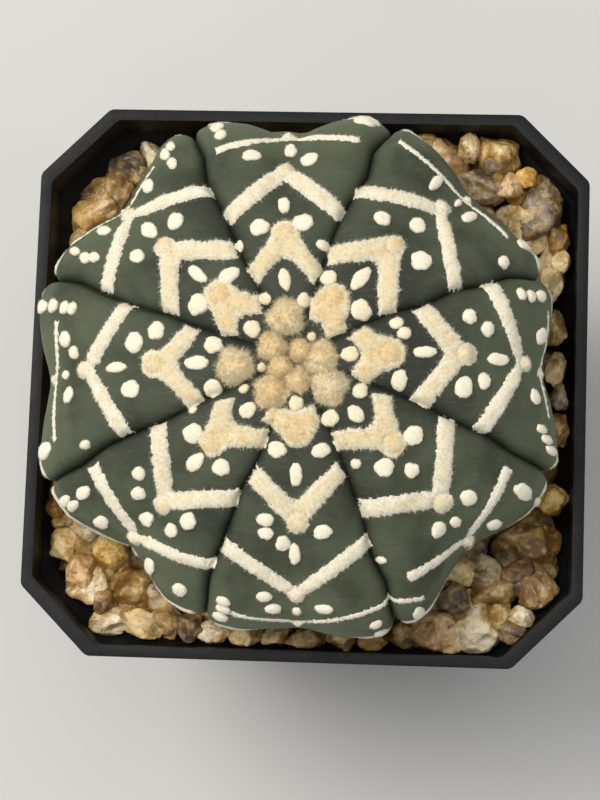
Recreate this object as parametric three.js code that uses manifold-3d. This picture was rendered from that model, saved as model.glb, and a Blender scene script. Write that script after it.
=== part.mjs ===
// Potted sand dollar cactus: a flattened cactus of eight ribs, with chevrons and dots of white wool,
// standing in potting mix in a square plastic pot with cut corners, under a top dressing of quartz gravel.
// Millimetres, +Z up. The origin is the middle of the pot's underside, and the pot's sides face X and Y.

import * as THREE from 'three';
import { mergeVertices } from 'three/addons/utils/BufferGeometryUtils.js';
import Module from 'manifold-3d';

const wasm = await Module();
wasm.setup();

// The pot: widths are across the flats, and a cut is one leg of a cut corner. Inside, the rim is
// nearly upright down to a small ledge at its foot.
const POT_HEIGHT = 80;
const RIM_WIDTH = 90;
const RIM_CUT = 11.1;
const RIM_LIP = 1.8;
const RIM_EDGE = 0.5;
const BAND_HEIGHT = 9;
const BAND_STEP = 1.3;
const LEDGE_TOP = 74;
const LEDGE_FOOT = 72;
const RIM_DRAFT = 0.5;
const BASE_WIDTH = 66;
const BASE_CUT = 8.6;
const WALL = 1.3;
const FOOT_HEIGHT = 3;
const FOOT_GAP = 34;
const FLOOR = 1.6;
const DRAIN_HOLE = 6;
const DRAIN_SPACING = 11.5;
const CORNER_RADIUS = 1.6;

// The gap kept between pieces that touch, the thickness under which a sliver is cleared, and the
// distance at which corners are one
const GAP = 0.3;
const SLIVER = 0.02;
const WELD = 1e-3;

// The fill: the mix's top and the gravel's level, which is a little higher at +X and -Y
const MIX_TOP = 64;
const GRAVEL_LEVEL = 71.5;
const GRAVEL_RISE = 0.028;
const BED_DEPTH = 3.2;
const STONE_SIZE = 8;
const STONE_SPREAD = 0.22;
const STONE_SPACING = 0.74;
const STONE_TRIES = 4000;
const STONE_SEED = 6;

// The plant: its radius at the middle of a rib, and its heights
const RIBS = 8;
const PLANT_RADIUS = 39.2;
const PLANT_TURN = 3;
const PLANT_SHIFT = 0.5;
const EQUATOR_HEIGHT = 89;
const DOME_HEIGHT = 16;
const DOME_POWER = 2.35;
const CROWN_DIP = 0.9;
const CROWN_DIP_RADIUS = 5;
const UNDERSIDE_DEPTH = 28;
const NECK_RADIUS = 13;
const GROOVE_DEPTH = 3;
const GROOVE_WIDTH = 3.4;
const ROOT_RADIUS = 11;
const ROOT_TIP_RADIUS = 2.5;
const ROOT_LENGTH = 34;

// The wool: each areole lies five ribs on from the one before it, and a step further from the crown.
const AREOLE_STEP = 1.45;
const FIRST_AREOLE = 3.8;
const LOWEST_WOOL = 77;
const RIBS_BETWEEN_AREOLES = 5;
const TUFTS = 5;
const STUBS = 8;
const CROWN_TUFTS = 4;
const CROWN_TUFT_RUN = 2.6;
const CROWN_TUFT_RADIUS = 1.9;
const WOOL_WIDTH = 2.1;
const WOOL_HEIGHT = 0.8;
const WOOL_ROOT = 0.9;
const ARM_LENGTH = 9.2;
const STUB_LENGTH = 5.2;
const ARM_SIDE = 0.9;
const TUFT_RADIUS = 3;
const TUFT_HEIGHT = 1.5;
const DOT_LENGTH = 2.9;
const DOT_WIDTH = 2.3;
const DOT_HEIGHT = 0.6;
const DOT_SEED = 11;

const HALF_RIB = Math.PI / RIBS;

// Returns a source of random numbers from 0 to 1 that is the same for the same seed.
function seededRandom(seed) {
  let state = seed;
  return () => {
    state = (state + 0x6d2b79f5) | 0;
    let mixed = Math.imul(state ^ (state >>> 15), 1 | state);
    mixed = (mixed + Math.imul(mixed ^ (mixed >>> 7), 61 | mixed)) ^ mixed;
    return ((mixed ^ (mixed >>> 14)) >>> 0) / 4294967296;
  };
}

function lerp(low, high, share) {
  return low + (high - low) * share;
}

function geometryOf(points, faces) {
  const geometry = new THREE.BufferGeometry();
  geometry.setAttribute('position', new THREE.Float32BufferAttribute(points.flat(), 3));
  geometry.setIndex(faces.flat());
  return geometry;
}

function solidOf(geometry, weld = 1e-4) {
  const bare = geometry.clone();
  bare.deleteAttribute('normal');
  bare.deleteAttribute('uv');
  const merged = mergeVertices(bare, weld);
  const mesh = new wasm.Mesh({
    numProp: 3,
    vertProperties: merged.getAttribute('position').array,
    triVerts: new Uint32Array(merged.getIndex().array),
  });
  return new wasm.Manifold(mesh);
}

function skinOf(solid) {
  const { vertProperties, triVerts } = solid.getMesh();
  const geometry = new THREE.BufferGeometry();
  geometry.setAttribute('position', new THREE.BufferAttribute(vertProperties, 3));
  geometry.setIndex(new THREE.BufferAttribute(triVerts, 1));
  return geometry;
}

function meshOf(name, solid, material) {
  const geometry = skinOf(solid);
  geometry.computeVertexNormals();
  const mesh = new THREE.Mesh(geometry, material);
  mesh.name = name;
  return mesh;
}

function joined(solids) {
  return solids.reduce((whole, solid) => whole.add(solid));
}

// Clears the slivers that joining leaves, and keeps the largest skin of the solid, which fills its
// sealed hollows and drops its loose scraps.
function largestBody(solid) {
  const pieces = solidOf(skinOf(solid.asOriginal().simplify(SLIVER)), WELD).decompose();
  return pieces.reduce((best, piece) => (piece.volume() > best.volume() ? piece : best));
}

// Skins a row of rings that all have the same number of points, and closes both ends with a fan.
function loft(rings) {
  const count = rings[0].length;
  const points = rings.flat();
  const faces = [];
  for (let row = 0; row + 1 < rings.length; row += 1) {
    for (let column = 0; column < count; column += 1) {
      const next = (column + 1) % count;
      const a = row * count + column;
      const b = row * count + next;
      faces.push([a, b, b + count], [a, b + count, a + count]);
    }
  }
  const last = (rings.length - 1) * count;
  for (let column = 1; column + 1 < count; column += 1) {
    faces.push([0, column + 1, column], [last, last + column, last + column + 1]);
  }
  return geometryOf(points, faces);
}

// One level ring of the pot: a square with cut corners, whose eight corners are rounded.
function potRing(width, cut, height, radius = CORNER_RADIUS) {
  const half = width / 2;
  const side = half - cut;
  const corners = [];
  for (let quarter = 0; quarter < 4; quarter += 1) {
    const turn = (quarter * Math.PI) / 2;
    for (const [x, y] of [[half, side], [side, half]]) {
      corners.push(new THREE.Vector2(x, y).rotateAround(new THREE.Vector2(), turn));
    }
  }
  const reach = radius * Math.tan(Math.PI / 8);
  const bulge = radius * (1 / Math.cos(Math.PI / 8) - 1);
  return corners.flatMap((corner, index) => {
    const before = corners[(index + 7) % 8].clone().sub(corner).normalize();
    const after = corners[(index + 1) % 8].clone().sub(corner).normalize();
    const inward = before.clone().add(after).normalize();
    return [
      corner.clone().addScaledVector(before, reach),
      corner.clone().addScaledVector(inward, bulge),
      corner.clone().addScaledVector(after, reach),
    ].map((point) => [point.x, point.y, height]);
  });
}

// The pot's wall tapers evenly from its base to the rim. Inset is measured inwards from the outer face.
const SHOULDER_WIDTH = RIM_WIDTH - 2 * BAND_STEP - 1;

function wallRing(height, inset) {
  const share = height / POT_HEIGHT;
  const width = lerp(BASE_WIDTH, SHOULDER_WIDTH, share);
  const cut = lerp(BASE_CUT, RIM_CUT - BAND_STEP * (2 - Math.SQRT2), share);
  return potRing(width - 2 * inset, cut - inset * (2 - Math.SQRT2), height);
}

function rimRing(height, inset) {
  return potRing(RIM_WIDTH - 2 * inset, RIM_CUT - inset * (2 - Math.SQRT2), height);
}

const FLOOR_TOP = FOOT_HEIGHT + FLOOR;

function makePot() {
  const bandFoot = POT_HEIGHT - BAND_HEIGHT;
  const shell = solidOf(loft([
    wallRing(0, 0),
    wallRing(bandFoot, 0),
    rimRing(bandFoot + 0.6, 0.5),
    rimRing(POT_HEIGHT - RIM_EDGE, 0),
    rimRing(POT_HEIGHT, RIM_EDGE),
    rimRing(POT_HEIGHT, RIM_LIP),
    rimRing(LEDGE_TOP, RIM_LIP + RIM_DRAFT),
    wallRing(LEDGE_FOOT, WALL),
    wallRing(FLOOR_TOP, WALL),
  ]));

  // Two channels cross the underside and leave a foot in each corner.
  const across = new THREE.BoxGeometry(RIM_WIDTH, FOOT_GAP, 2 * FOOT_HEIGHT);
  const along = new THREE.BoxGeometry(FOOT_GAP, RIM_WIDTH, 2 * FOOT_HEIGHT);
  let pot = shell.subtract(solidOf(across)).subtract(solidOf(along));

  const drill = new THREE.CylinderGeometry(DRAIN_HOLE / 2, DRAIN_HOLE / 2, 4 * FLOOR, 12);
  drill.rotateX(Math.PI / 2);
  for (const x of [-DRAIN_SPACING, 0, DRAIN_SPACING]) {
    for (const y of [-DRAIN_SPACING, 0, DRAIN_SPACING]) {
      pot = pot.subtract(solidOf(drill.clone().translate(x, y, FLOOR_TOP - FLOOR / 2)));
    }
  }
  return pot;
}

// The space inside the pot between two heights, clear of its wall
function potInside(low, high) {
  return solidOf(loft([wallRing(low, WALL + GAP), wallRing(high, WALL + GAP)]));
}

// The space over the mix, which widens above the ledge inside the rim
function gravelSpace() {
  return solidOf(loft([
    wallRing(MIX_TOP + GAP, WALL + GAP),
    wallRing(LEDGE_FOOT, WALL + GAP),
    rimRing(LEDGE_TOP, RIM_LIP + RIM_DRAFT + GAP),
    rimRing(POT_HEIGHT, RIM_LIP + GAP),
  ]));
}

// The plant's outline at the middle of a rib, from the crown to the neck, as points with
// their radius, their height and the distance run along the skin.
const OUTLINE_STEPS = 120;

function makeOutline() {
  const points = [];
  for (let step = 0; step <= OUTLINE_STEPS; step += 1) {
    const turn = ((step / OUTLINE_STEPS) * Math.PI) / 2;
    const radius = PLANT_RADIUS * Math.sin(turn) ** (2 / DOME_POWER);
    const dip = CROWN_DIP * Math.exp(-((radius / CROWN_DIP_RADIUS) ** 2));
    points.push({ radius, height: EQUATOR_HEIGHT + DOME_HEIGHT * Math.cos(turn) ** (2 / DOME_POWER) - dip });
  }
  for (let step = 1; step <= OUTLINE_STEPS; step += 1) {
    const turn = ((step / OUTLINE_STEPS) * Math.PI) / 2;
    const radius = lerp(NECK_RADIUS, PLANT_RADIUS, Math.cos(turn) ** 0.9);
    points.push({ radius, height: EQUATOR_HEIGHT - UNDERSIDE_DEPTH * Math.sin(turn) });
  }
  let run = 0;
  points.forEach((point, index) => {
    const before = points[Math.max(index - 1, 0)];
    run += Math.hypot(point.radius - before.radius, point.height - before.height);
    point.run = run;
  });
  return points;
}

const OUTLINE = makeOutline();
const SKIN_LENGTH = OUTLINE.at(-1).run;
const EQUATOR_RUN = OUTLINE[OUTLINE_STEPS].run;

// The outline at a distance from the crown, with the direction that faces straight out of it
function outlineAt(run) {
  const place = Math.min(Math.max(run, 0), SKIN_LENGTH);
  let index = 1;
  while (OUTLINE[index].run < place) {
    index += 1;
  }
  const before = OUTLINE[index - 1];
  const after = OUTLINE[index];
  const length = after.run - before.run;
  const share = (place - before.run) / length;
  return {
    radius: lerp(before.radius, after.radius, share),
    height: lerp(before.height, after.height, share),
    outward: (before.height - after.height) / length,
    upward: (after.radius - before.radius) / length,
  };
}

// A point of the skin at a distance from the crown and an angle from the middle of a rib, raised
// along the outline's own normal. Each section is an octagon whose corners are the grooves: it is
// round at the crown, eight-sided at the shoulder, and round again at the neck.
function skinPoint(rib, run, angle, raise) {
  const { radius, height, outward, upward } = outlineAt(run);
  const ribbed = Math.sin(Math.PI * Math.min(run / SKIN_LENGTH, 1)) ** 0.6;
  const flat = 1 / Math.cos(Math.max(Math.min(angle, HALF_RIB), -HALF_RIB));
  const fromGroove = (HALF_RIB - Math.abs(angle)) * radius;
  const crease = GROOVE_DEPTH * ribbed * Math.exp(-fromGroove / (GROOVE_WIDTH / 2.5));
  const across = radius * lerp(1, flat, ribbed) + outward * (raise - crease);
  const up = height + upward * (raise - crease);
  const turn = rib * 2 * HALF_RIB + angle + THREE.MathUtils.degToRad(PLANT_TURN);
  return [PLANT_SHIFT + across * Math.cos(turn), across * Math.sin(turn), up];
}

// Angles of the skin's columns over one rib, as shares of half a rib, closer at the groove
const RIB_COLUMNS = [-1, -0.92, -0.8, -0.52, -0.26, 0, 0.26, 0.52, 0.8, 0.92];
const SKIN_ROWS = 20;

function plantBody(grow) {
  const rings = [];
  for (let row = 1; row <= SKIN_ROWS; row += 1) {
    const ring = [];
    for (let rib = 0; rib < RIBS; rib += 1) {
      for (const column of RIB_COLUMNS) {
        ring.push(skinPoint(rib, (row / SKIN_ROWS) * SKIN_LENGTH, column * HALF_RIB, grow));
      }
    }
    rings.unshift(ring);
  }
  return solidOf(loft(rings));
}

function plantRoot(grow) {
  const neck = EQUATOR_HEIGHT - UNDERSIDE_DEPTH;
  const outline = [
    new THREE.Vector2(0, neck - ROOT_LENGTH - grow),
    new THREE.Vector2(ROOT_TIP_RADIUS + grow, neck - ROOT_LENGTH - grow),
    new THREE.Vector2(ROOT_RADIUS * 0.7 + grow, neck - ROOT_LENGTH * 0.4),
    new THREE.Vector2(ROOT_RADIUS + grow, neck + 2),
    new THREE.Vector2(0, neck + 2),
  ];
  const root = new THREE.LatheGeometry(outline, 16);
  root.rotateX(Math.PI / 2);
  root.translate(PLANT_SHIFT, 0, 0);
  return solidOf(root);
}

// A place on the skin, with the directions straight out of it, away from the crown and sideways
function skinFrame(rib, run, angle) {
  const place = new THREE.Vector3(...skinPoint(rib, run, angle, 0));
  const out = new THREE.Vector3(...skinPoint(rib, run, angle, 1)).sub(place).normalize();
  const along = new THREE.Vector3(...skinPoint(rib, run + 1, angle, 0)).sub(place).normalize();
  const aside = new THREE.Vector3().crossVectors(out, along).normalize();
  return { place, out, along, aside };
}

// A low pad of wool: an oval with roots sunk in the skin, turned by spin.
function woolPad(rib, run, angle, length, width, height, spin, sides = 6) {
  const { place, out, along, aside } = skinFrame(rib, run, angle);
  const ring = (size, raise) => {
    const points = [];
    for (let side = 0; side < sides; side += 1) {
      const turn = (side / sides) * 2 * Math.PI;
      const x = (Math.cos(turn) * size * length) / 2;
      const y = (Math.sin(turn) * size * width) / 2;
      const point = place.clone().addScaledVector(out, raise);
      point.addScaledVector(along, x * Math.cos(spin) - y * Math.sin(spin));
      point.addScaledVector(aside, x * Math.sin(spin) + y * Math.cos(spin));
      points.push(point.toArray());
    }
    return points;
  };
  return solidOf(loft([ring(1.05, -WOOL_ROOT), ring(0.7, height)]));
}

// One chevron: its tip points away from the crown and its arms run back to the grooves on each side.
function woolChevron(rib, run, armLength, side) {
  const half = WOOL_WIDTH / 2;
  const start = run - armLength;
  const middle = run - armLength * 0.5;
  const stations = [
    { run: start, angle: -side, wide: 0.75 },
    { run: middle, angle: -side * 0.55, wide: 1 },
    { run, angle: 0, wide: 1.5 },
    { run: middle, angle: side * 0.55, wide: 1 },
    { run: start, angle: side, wide: 0.75 },
  ];
  stations.forEach((station) => {
    station.radius = outlineAt(station.run).radius;
    station.aside = station.angle * station.radius;
  });
  const rings = stations.map((station, index) => {
    const before = stations[Math.max(index - 1, 0)];
    const after = stations[Math.min(index + 1, stations.length - 1)];
    const heading = new THREE.Vector2(after.aside - before.aside, after.run - before.run).normalize();
    const place = (share, raise) => {
      const offset = share * half * station.wide;
      const angle = station.angle + (-heading.y * offset) / station.radius;
      return skinPoint(rib, station.run + heading.x * offset, angle, raise);
    };
    const height = WOOL_HEIGHT * (0.6 + 0.4 * station.wide);
    return [place(-1, -WOOL_ROOT), place(-0.6, height), place(0.6, height), place(1, -WOOL_ROOT)];
  });
  return solidOf(loft(rings));
}

function areoleRun(areole) {
  return FIRST_AREOLE + areole * AREOLE_STEP;
}

function makePlant() {
  const random = seededRandom(DOT_SEED);
  const pieces = [plantRoot(0)];
  const crown = 2 * CROWN_TUFT_RADIUS;
  for (let areole = 1; areole <= CROWN_TUFTS; areole += 1) {
    const rib = RIBS - ((areole * RIBS_BETWEEN_AREOLES) % RIBS);
    pieces.push(woolPad(rib, CROWN_TUFT_RUN, 0, crown, crown, TUFT_HEIGHT, 0, 7));
  }
  for (let areole = 0; outlineAt(areoleRun(areole)).height > LOWEST_WOOL; areole += 1) {
    const rib = (areole * RIBS_BETWEEN_AREOLES) % RIBS;
    const run = areoleRun(areole);
    if (areole < TUFTS) {
      pieces.push(woolPad(rib, run, 0, 2 * TUFT_RADIUS, 2 * TUFT_RADIUS, TUFT_HEIGHT, 0, 8));
    } else {
      const length = areole < STUBS ? STUB_LENGTH : ARM_LENGTH;
      const side = HALF_RIB * (areole < STUBS ? ARM_SIDE * 0.7 : ARM_SIDE);
      pieces.push(woolChevron(rib, run, length, side));
    }
    if (areole > 0) {
      for (const place of [-1, 0, 1]) {
        const aside = place * (0.42 + 0.14 * random()) * HALF_RIB;
        const beyond = (place === 0 ? 3.4 : 0.6) + 0.8 * random();
        const size = 0.85 + 0.3 * random();
        const spin = Math.PI * random();
        pieces.push(woolPad(rib, run + beyond, aside, DOT_LENGTH * size, DOT_WIDTH * size, DOT_HEIGHT, spin));
      }
    }
  }
  return largestBody(joined([plantBody(0), ...pieces]));
}

// A stone: a 20-faced block whose corners are moved in and out, stretched and turned at random.
function makeStone(random, size) {
  const stone = mergeVertices(bareIcosahedron(size / 2), 1e-4);
  const corners = stone.getAttribute('position');
  for (let index = 0; index < corners.count; index += 1) {
    const share = 1 + STONE_SPREAD * (2 * random() - 1);
    corners.setXYZ(index, corners.getX(index) * share, corners.getY(index) * share, corners.getZ(index) * share);
  }
  stone.scale(1.1 + 0.25 * random(), 0.85 + 0.15 * random(), 0.75 + 0.2 * random());
  stone.rotateX(random() - 0.5);
  stone.rotateY(random() - 0.5);
  stone.rotateZ(2 * Math.PI * random());
  return stone;
}

function bareIcosahedron(radius) {
  const block = new THREE.IcosahedronGeometry(radius, 0);
  block.deleteAttribute('normal');
  block.deleteAttribute('uv');
  return block;
}

function gravelHeight(x, y) {
  return GRAVEL_LEVEL + GRAVEL_RISE * (x - y);
}

// Stones are dropped at random and kept where no other stone is too close, the large ones first.
function makeGravel(hole) {
  const random = seededRandom(STONE_SEED);
  const half = (RIM_WIDTH - 2 * RIM_LIP) / 2 - STONE_SIZE * 0.35;
  const stones = [];
  for (let attempt = 0; attempt < STONE_TRIES; attempt += 1) {
    const x = half * (2 * random() - 1);
    const y = half * (2 * random() - 1);
    const size = STONE_SIZE * lerp(1.15, 0.72, attempt / STONE_TRIES);
    const inCorner = Math.abs(x) + Math.abs(y) > 2 * half - RIM_CUT + 1;
    const underPlant = Math.hypot(x - PLANT_SHIFT, y) < PLANT_RADIUS - 6;
    const crowded = stones.some((other) => {
      return Math.hypot(x - other.x, y - other.y) < ((size + other.size) / 2) * STONE_SPACING;
    });
    if (!inCorner && !underPlant && !crowded) {
      stones.push({ x, y, size });
    }
  }
  const bedRing = (low) => wallRing(MIX_TOP, 0).map(([x, y, z]) => [
    x * 1.1, y * 1.1, low ? MIX_TOP + GAP : gravelHeight(x, y) - BED_DEPTH,
  ]);
  const blocks = stones.map(({ x, y, size }) => {
    const height = gravelHeight(x, y) - size * (0.3 + 0.12 * random());
    return solidOf(makeStone(random, size).translate(x, y, height));
  });
  const heap = joined([solidOf(loft([bedRing(true), bedRing(false)])), ...blocks]);
  return largestBody(heap.intersect(gravelSpace()).subtract(hole));
}

const plasticBlack = new THREE.MeshStandardMaterial({ color: 0x2b2b2e, roughness: 0.5, metalness: 0 });
const mixBrown = new THREE.MeshStandardMaterial({ color: 0x3a2c20, roughness: 0.95, metalness: 0 });
const quartzTan = new THREE.MeshStandardMaterial({ color: 0xb9945c, roughness: 0.6, metalness: 0 });
const skinGreen = new THREE.MeshStandardMaterial({ color: 0x47533f, roughness: 0.8, metalness: 0 });

const hole = plantBody(GAP + 0.1).add(plantRoot(GAP + 0.1));

const plantInPot = new THREE.Group();
plantInPot.add(meshOf('pot', makePot(), plasticBlack));
plantInPot.add(meshOf('potting_mix', potInside(FLOOR_TOP + GAP, MIX_TOP).subtract(hole), mixBrown));
plantInPot.add(meshOf('gravel', makeGravel(hole), quartzTan));
plantInPot.add(meshOf('cactus', makePlant(), skinGreen));

export default plantInPot;
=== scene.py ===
"""Potted sand dollar cactus: the finish of the pot, gravel, plant and wool, and the photographed view."""

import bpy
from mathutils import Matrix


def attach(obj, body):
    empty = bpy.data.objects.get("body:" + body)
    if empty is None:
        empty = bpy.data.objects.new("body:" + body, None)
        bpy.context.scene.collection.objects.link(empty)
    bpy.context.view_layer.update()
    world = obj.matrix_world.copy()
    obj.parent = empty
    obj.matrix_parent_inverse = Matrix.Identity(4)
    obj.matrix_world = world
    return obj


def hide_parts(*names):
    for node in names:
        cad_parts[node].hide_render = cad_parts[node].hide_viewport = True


bl_info = {
    "name": "Potted Sand Dollar Cactus",
    "version": (1, 0, 0),
    "blender": (4, 5, 0),
    "location": "View3D > Sidebar > Cactus",
    "description": "Dresses a sand dollar cactus in its pot with skin, wool, gravel and plastic",
    "category": "Add Mesh",
}

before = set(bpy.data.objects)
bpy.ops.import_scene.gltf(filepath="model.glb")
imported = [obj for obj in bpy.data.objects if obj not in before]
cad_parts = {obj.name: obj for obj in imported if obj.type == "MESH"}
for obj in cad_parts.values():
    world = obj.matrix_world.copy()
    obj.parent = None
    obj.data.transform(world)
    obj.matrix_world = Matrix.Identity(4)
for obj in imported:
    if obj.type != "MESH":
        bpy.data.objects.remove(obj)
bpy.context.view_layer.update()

import math

import bpy
import numpy as np
from mathutils import Matrix, Vector
from mathutils.kdtree import KDTree

# The script works in millimetres, and writes each mesh in metres.
MM = 0.001
BODY = "root"

# The photograph's frame and the camera that was fitted to the rim's eight corners. The tilts turn
# the pot into the camera's view, and the place is that of the rim's middle, in millimetres.
PHOTO_WIDTH = 600
PHOTO_HEIGHT = 800
PHOTO_SENSOR = 36
CAMERA_LENS = 108
CAMERA_TILTS = (-8.42, -4.20, -1.97)
CAMERA_PLACE = (1.0, 2.8, -387.8)

RIM_TOP = 80.0
RIBS = 8
HALF_RIB = math.pi / RIBS

# Where the photograph shows the eight grooves, from the crown outwards, anticlockwise from the
# right, in its pixels.
GROOVES_SEEN = (
    ((385, 313), (420, 306), (452, 289), (485, 282), (520, 270), (544, 273)),
    ((318, 280), (336, 228), (350, 200), (367, 176), (372, 150), (390, 130)),
    ((243, 260), (231, 226), (213, 197), (206, 180), (204, 158), (192, 135)),
    ((217, 333), (177, 317), (151, 310), (118, 299), (90, 284), (50, 280)),
    ((200, 401), (176, 414), (142, 428), (118, 437), (90, 459), (45, 480)),
    ((262, 450), (240, 487), (229, 520), (214, 557), (207, 575), (203, 607)),
    ((335, 440), (348, 479), (361, 504), (366, 545), (384, 573), (391, 611)),
    ((397, 393), (425, 405), (458, 422), (487, 433), (513, 452), (552, 473)),
)

# The outline of the plant's limb as the photograph shows it, clockwise from the top left
LIMB_SEEN = (
    (200, 128), (222, 126), (248, 129), (273, 135), (290, 131), (307, 135), (333, 128), (352, 124),
    (370, 121), (388, 126), (410, 132), (430, 150), (450, 172), (470, 195), (488, 214), (505, 232),
    (520, 247), (535, 258), (543, 270), (549, 285), (551, 300), (548, 320), (545, 340), (543, 360),
    (545, 385), (549, 415), (554, 440), (558, 460), (556, 473), (545, 490), (527, 510), (500, 528),
    (475, 543), (460, 557), (447, 572), (437, 590), (428, 607), (416, 620), (400, 630), (370, 635),
    (340, 633), (300, 629), (262, 625), (236, 626), (215, 625), (195, 617), (182, 608), (168, 597),
    (148, 571), (130, 548), (105, 533), (72, 515), (52, 496), (43, 478), (42, 462), (47, 435),
    (51, 410), (51, 385), (49, 365), (46, 340), (43, 318), (43, 295), (50, 276), (60, 263),
    (70, 252), (92, 235), (118, 217), (137, 192), (155, 168), (163, 150), (174, 138), (186, 132),
)

# The chevrons of wool that the photograph shows: one arm's end, the areole, the other arm's end,
# then the place and the radius of the knob at the tip, and the arms' share of the full width.
CHEVRONS_SEEN = (
    ((356, 332), (384, 353), (358, 378), (391, 353, 16), 1.0),
    ((419, 308), (460, 354), (418, 402), (467, 354, 12), 1.15),
    ((487, 284), (524, 363), (479, 427), (528, 364, 9), 1.0),
    ((546, 315), (541, 372), (546, 416), (541, 374, 5), 0.3),
    ((310, 310), (333, 302), (336, 334), (334, 298, 16), 1.0),
    ((329, 256), (390, 248), (386, 312), (395, 246, 11), 1.1),
    ((356, 192), (441, 209), (451, 287), (444, 206, 10), 0.95),
    ((402, 144), (467, 200), (503, 238), (468, 199, 6), 0.42),
    ((253, 277), (285, 238), (317, 275), (285, 234, 15), 1.0),
    ((229, 220), (285, 170), (340, 215), (285, 169, 9), 1.1),
    ((219, 152), (289, 137), (356, 144), (289, 136, 8), 0.55),
    ((260, 306), (222, 299), (230, 334), (220, 295, 17), 1.0),
    ((236, 252), (169, 250), (172, 312), (164, 247, 12), 1.1),
    ((209, 191), (129, 214), (111, 289), (126, 213, 10), 0.95),
    ((155, 169), (123, 211), (76, 244), (123, 211, 4), 0.28),
    ((194, 328), (162, 365), (197, 403), (155, 364, 15), 1.0),
    ((129, 305), (86, 370), (128, 430), (83, 370, 10), 0.95),
    ((60, 324), (54, 380), (58, 438), (53, 380, 6), 0.38),
    ((224, 400), (219, 435), (266, 438), (212, 443, 15), 1.0),
    ((161, 424), (165, 501), (237, 496), (162, 505, 11), 1.05),
    ((100, 465), (135, 539), (209, 565), (133, 540, 9), 0.85),
    ((268, 412), (298, 430), (316, 412), (297, 434, 15), 1.0),
    ((253, 472), (296, 518), (340, 468), (297, 522, 12), 1.1),
    ((226, 540), (296, 596), (366, 538), (296, 597, 9), 0.95),
    ((235, 610), (298, 625), (421, 598), (298, 625, 5), 0.42),
    ((380, 394), (387, 437), (334, 440), (392, 443, 14), 1.0),
    ((444, 418), (441, 500), (360, 504), (443, 503, 12), 1.1),
    ((505, 470), (469, 542), (410, 572), (470, 543, 8), 0.7),
)

# The round tufts of wool at and near the crown: place, radius, and how far each has yellowed
TUFTS_SEEN = (
    (236, 366, 20, 0.72), (329, 386, 20, 0.62), (286, 318, 20, 0.72), (272, 391, 19, 0.88),
    (320, 358, 19, 0.75), (273, 347, 16, 0.9), (297, 381, 15, 0.9), (301, 350, 13, 0.98),
    (279, 367, 14, 0.95),
)

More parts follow.
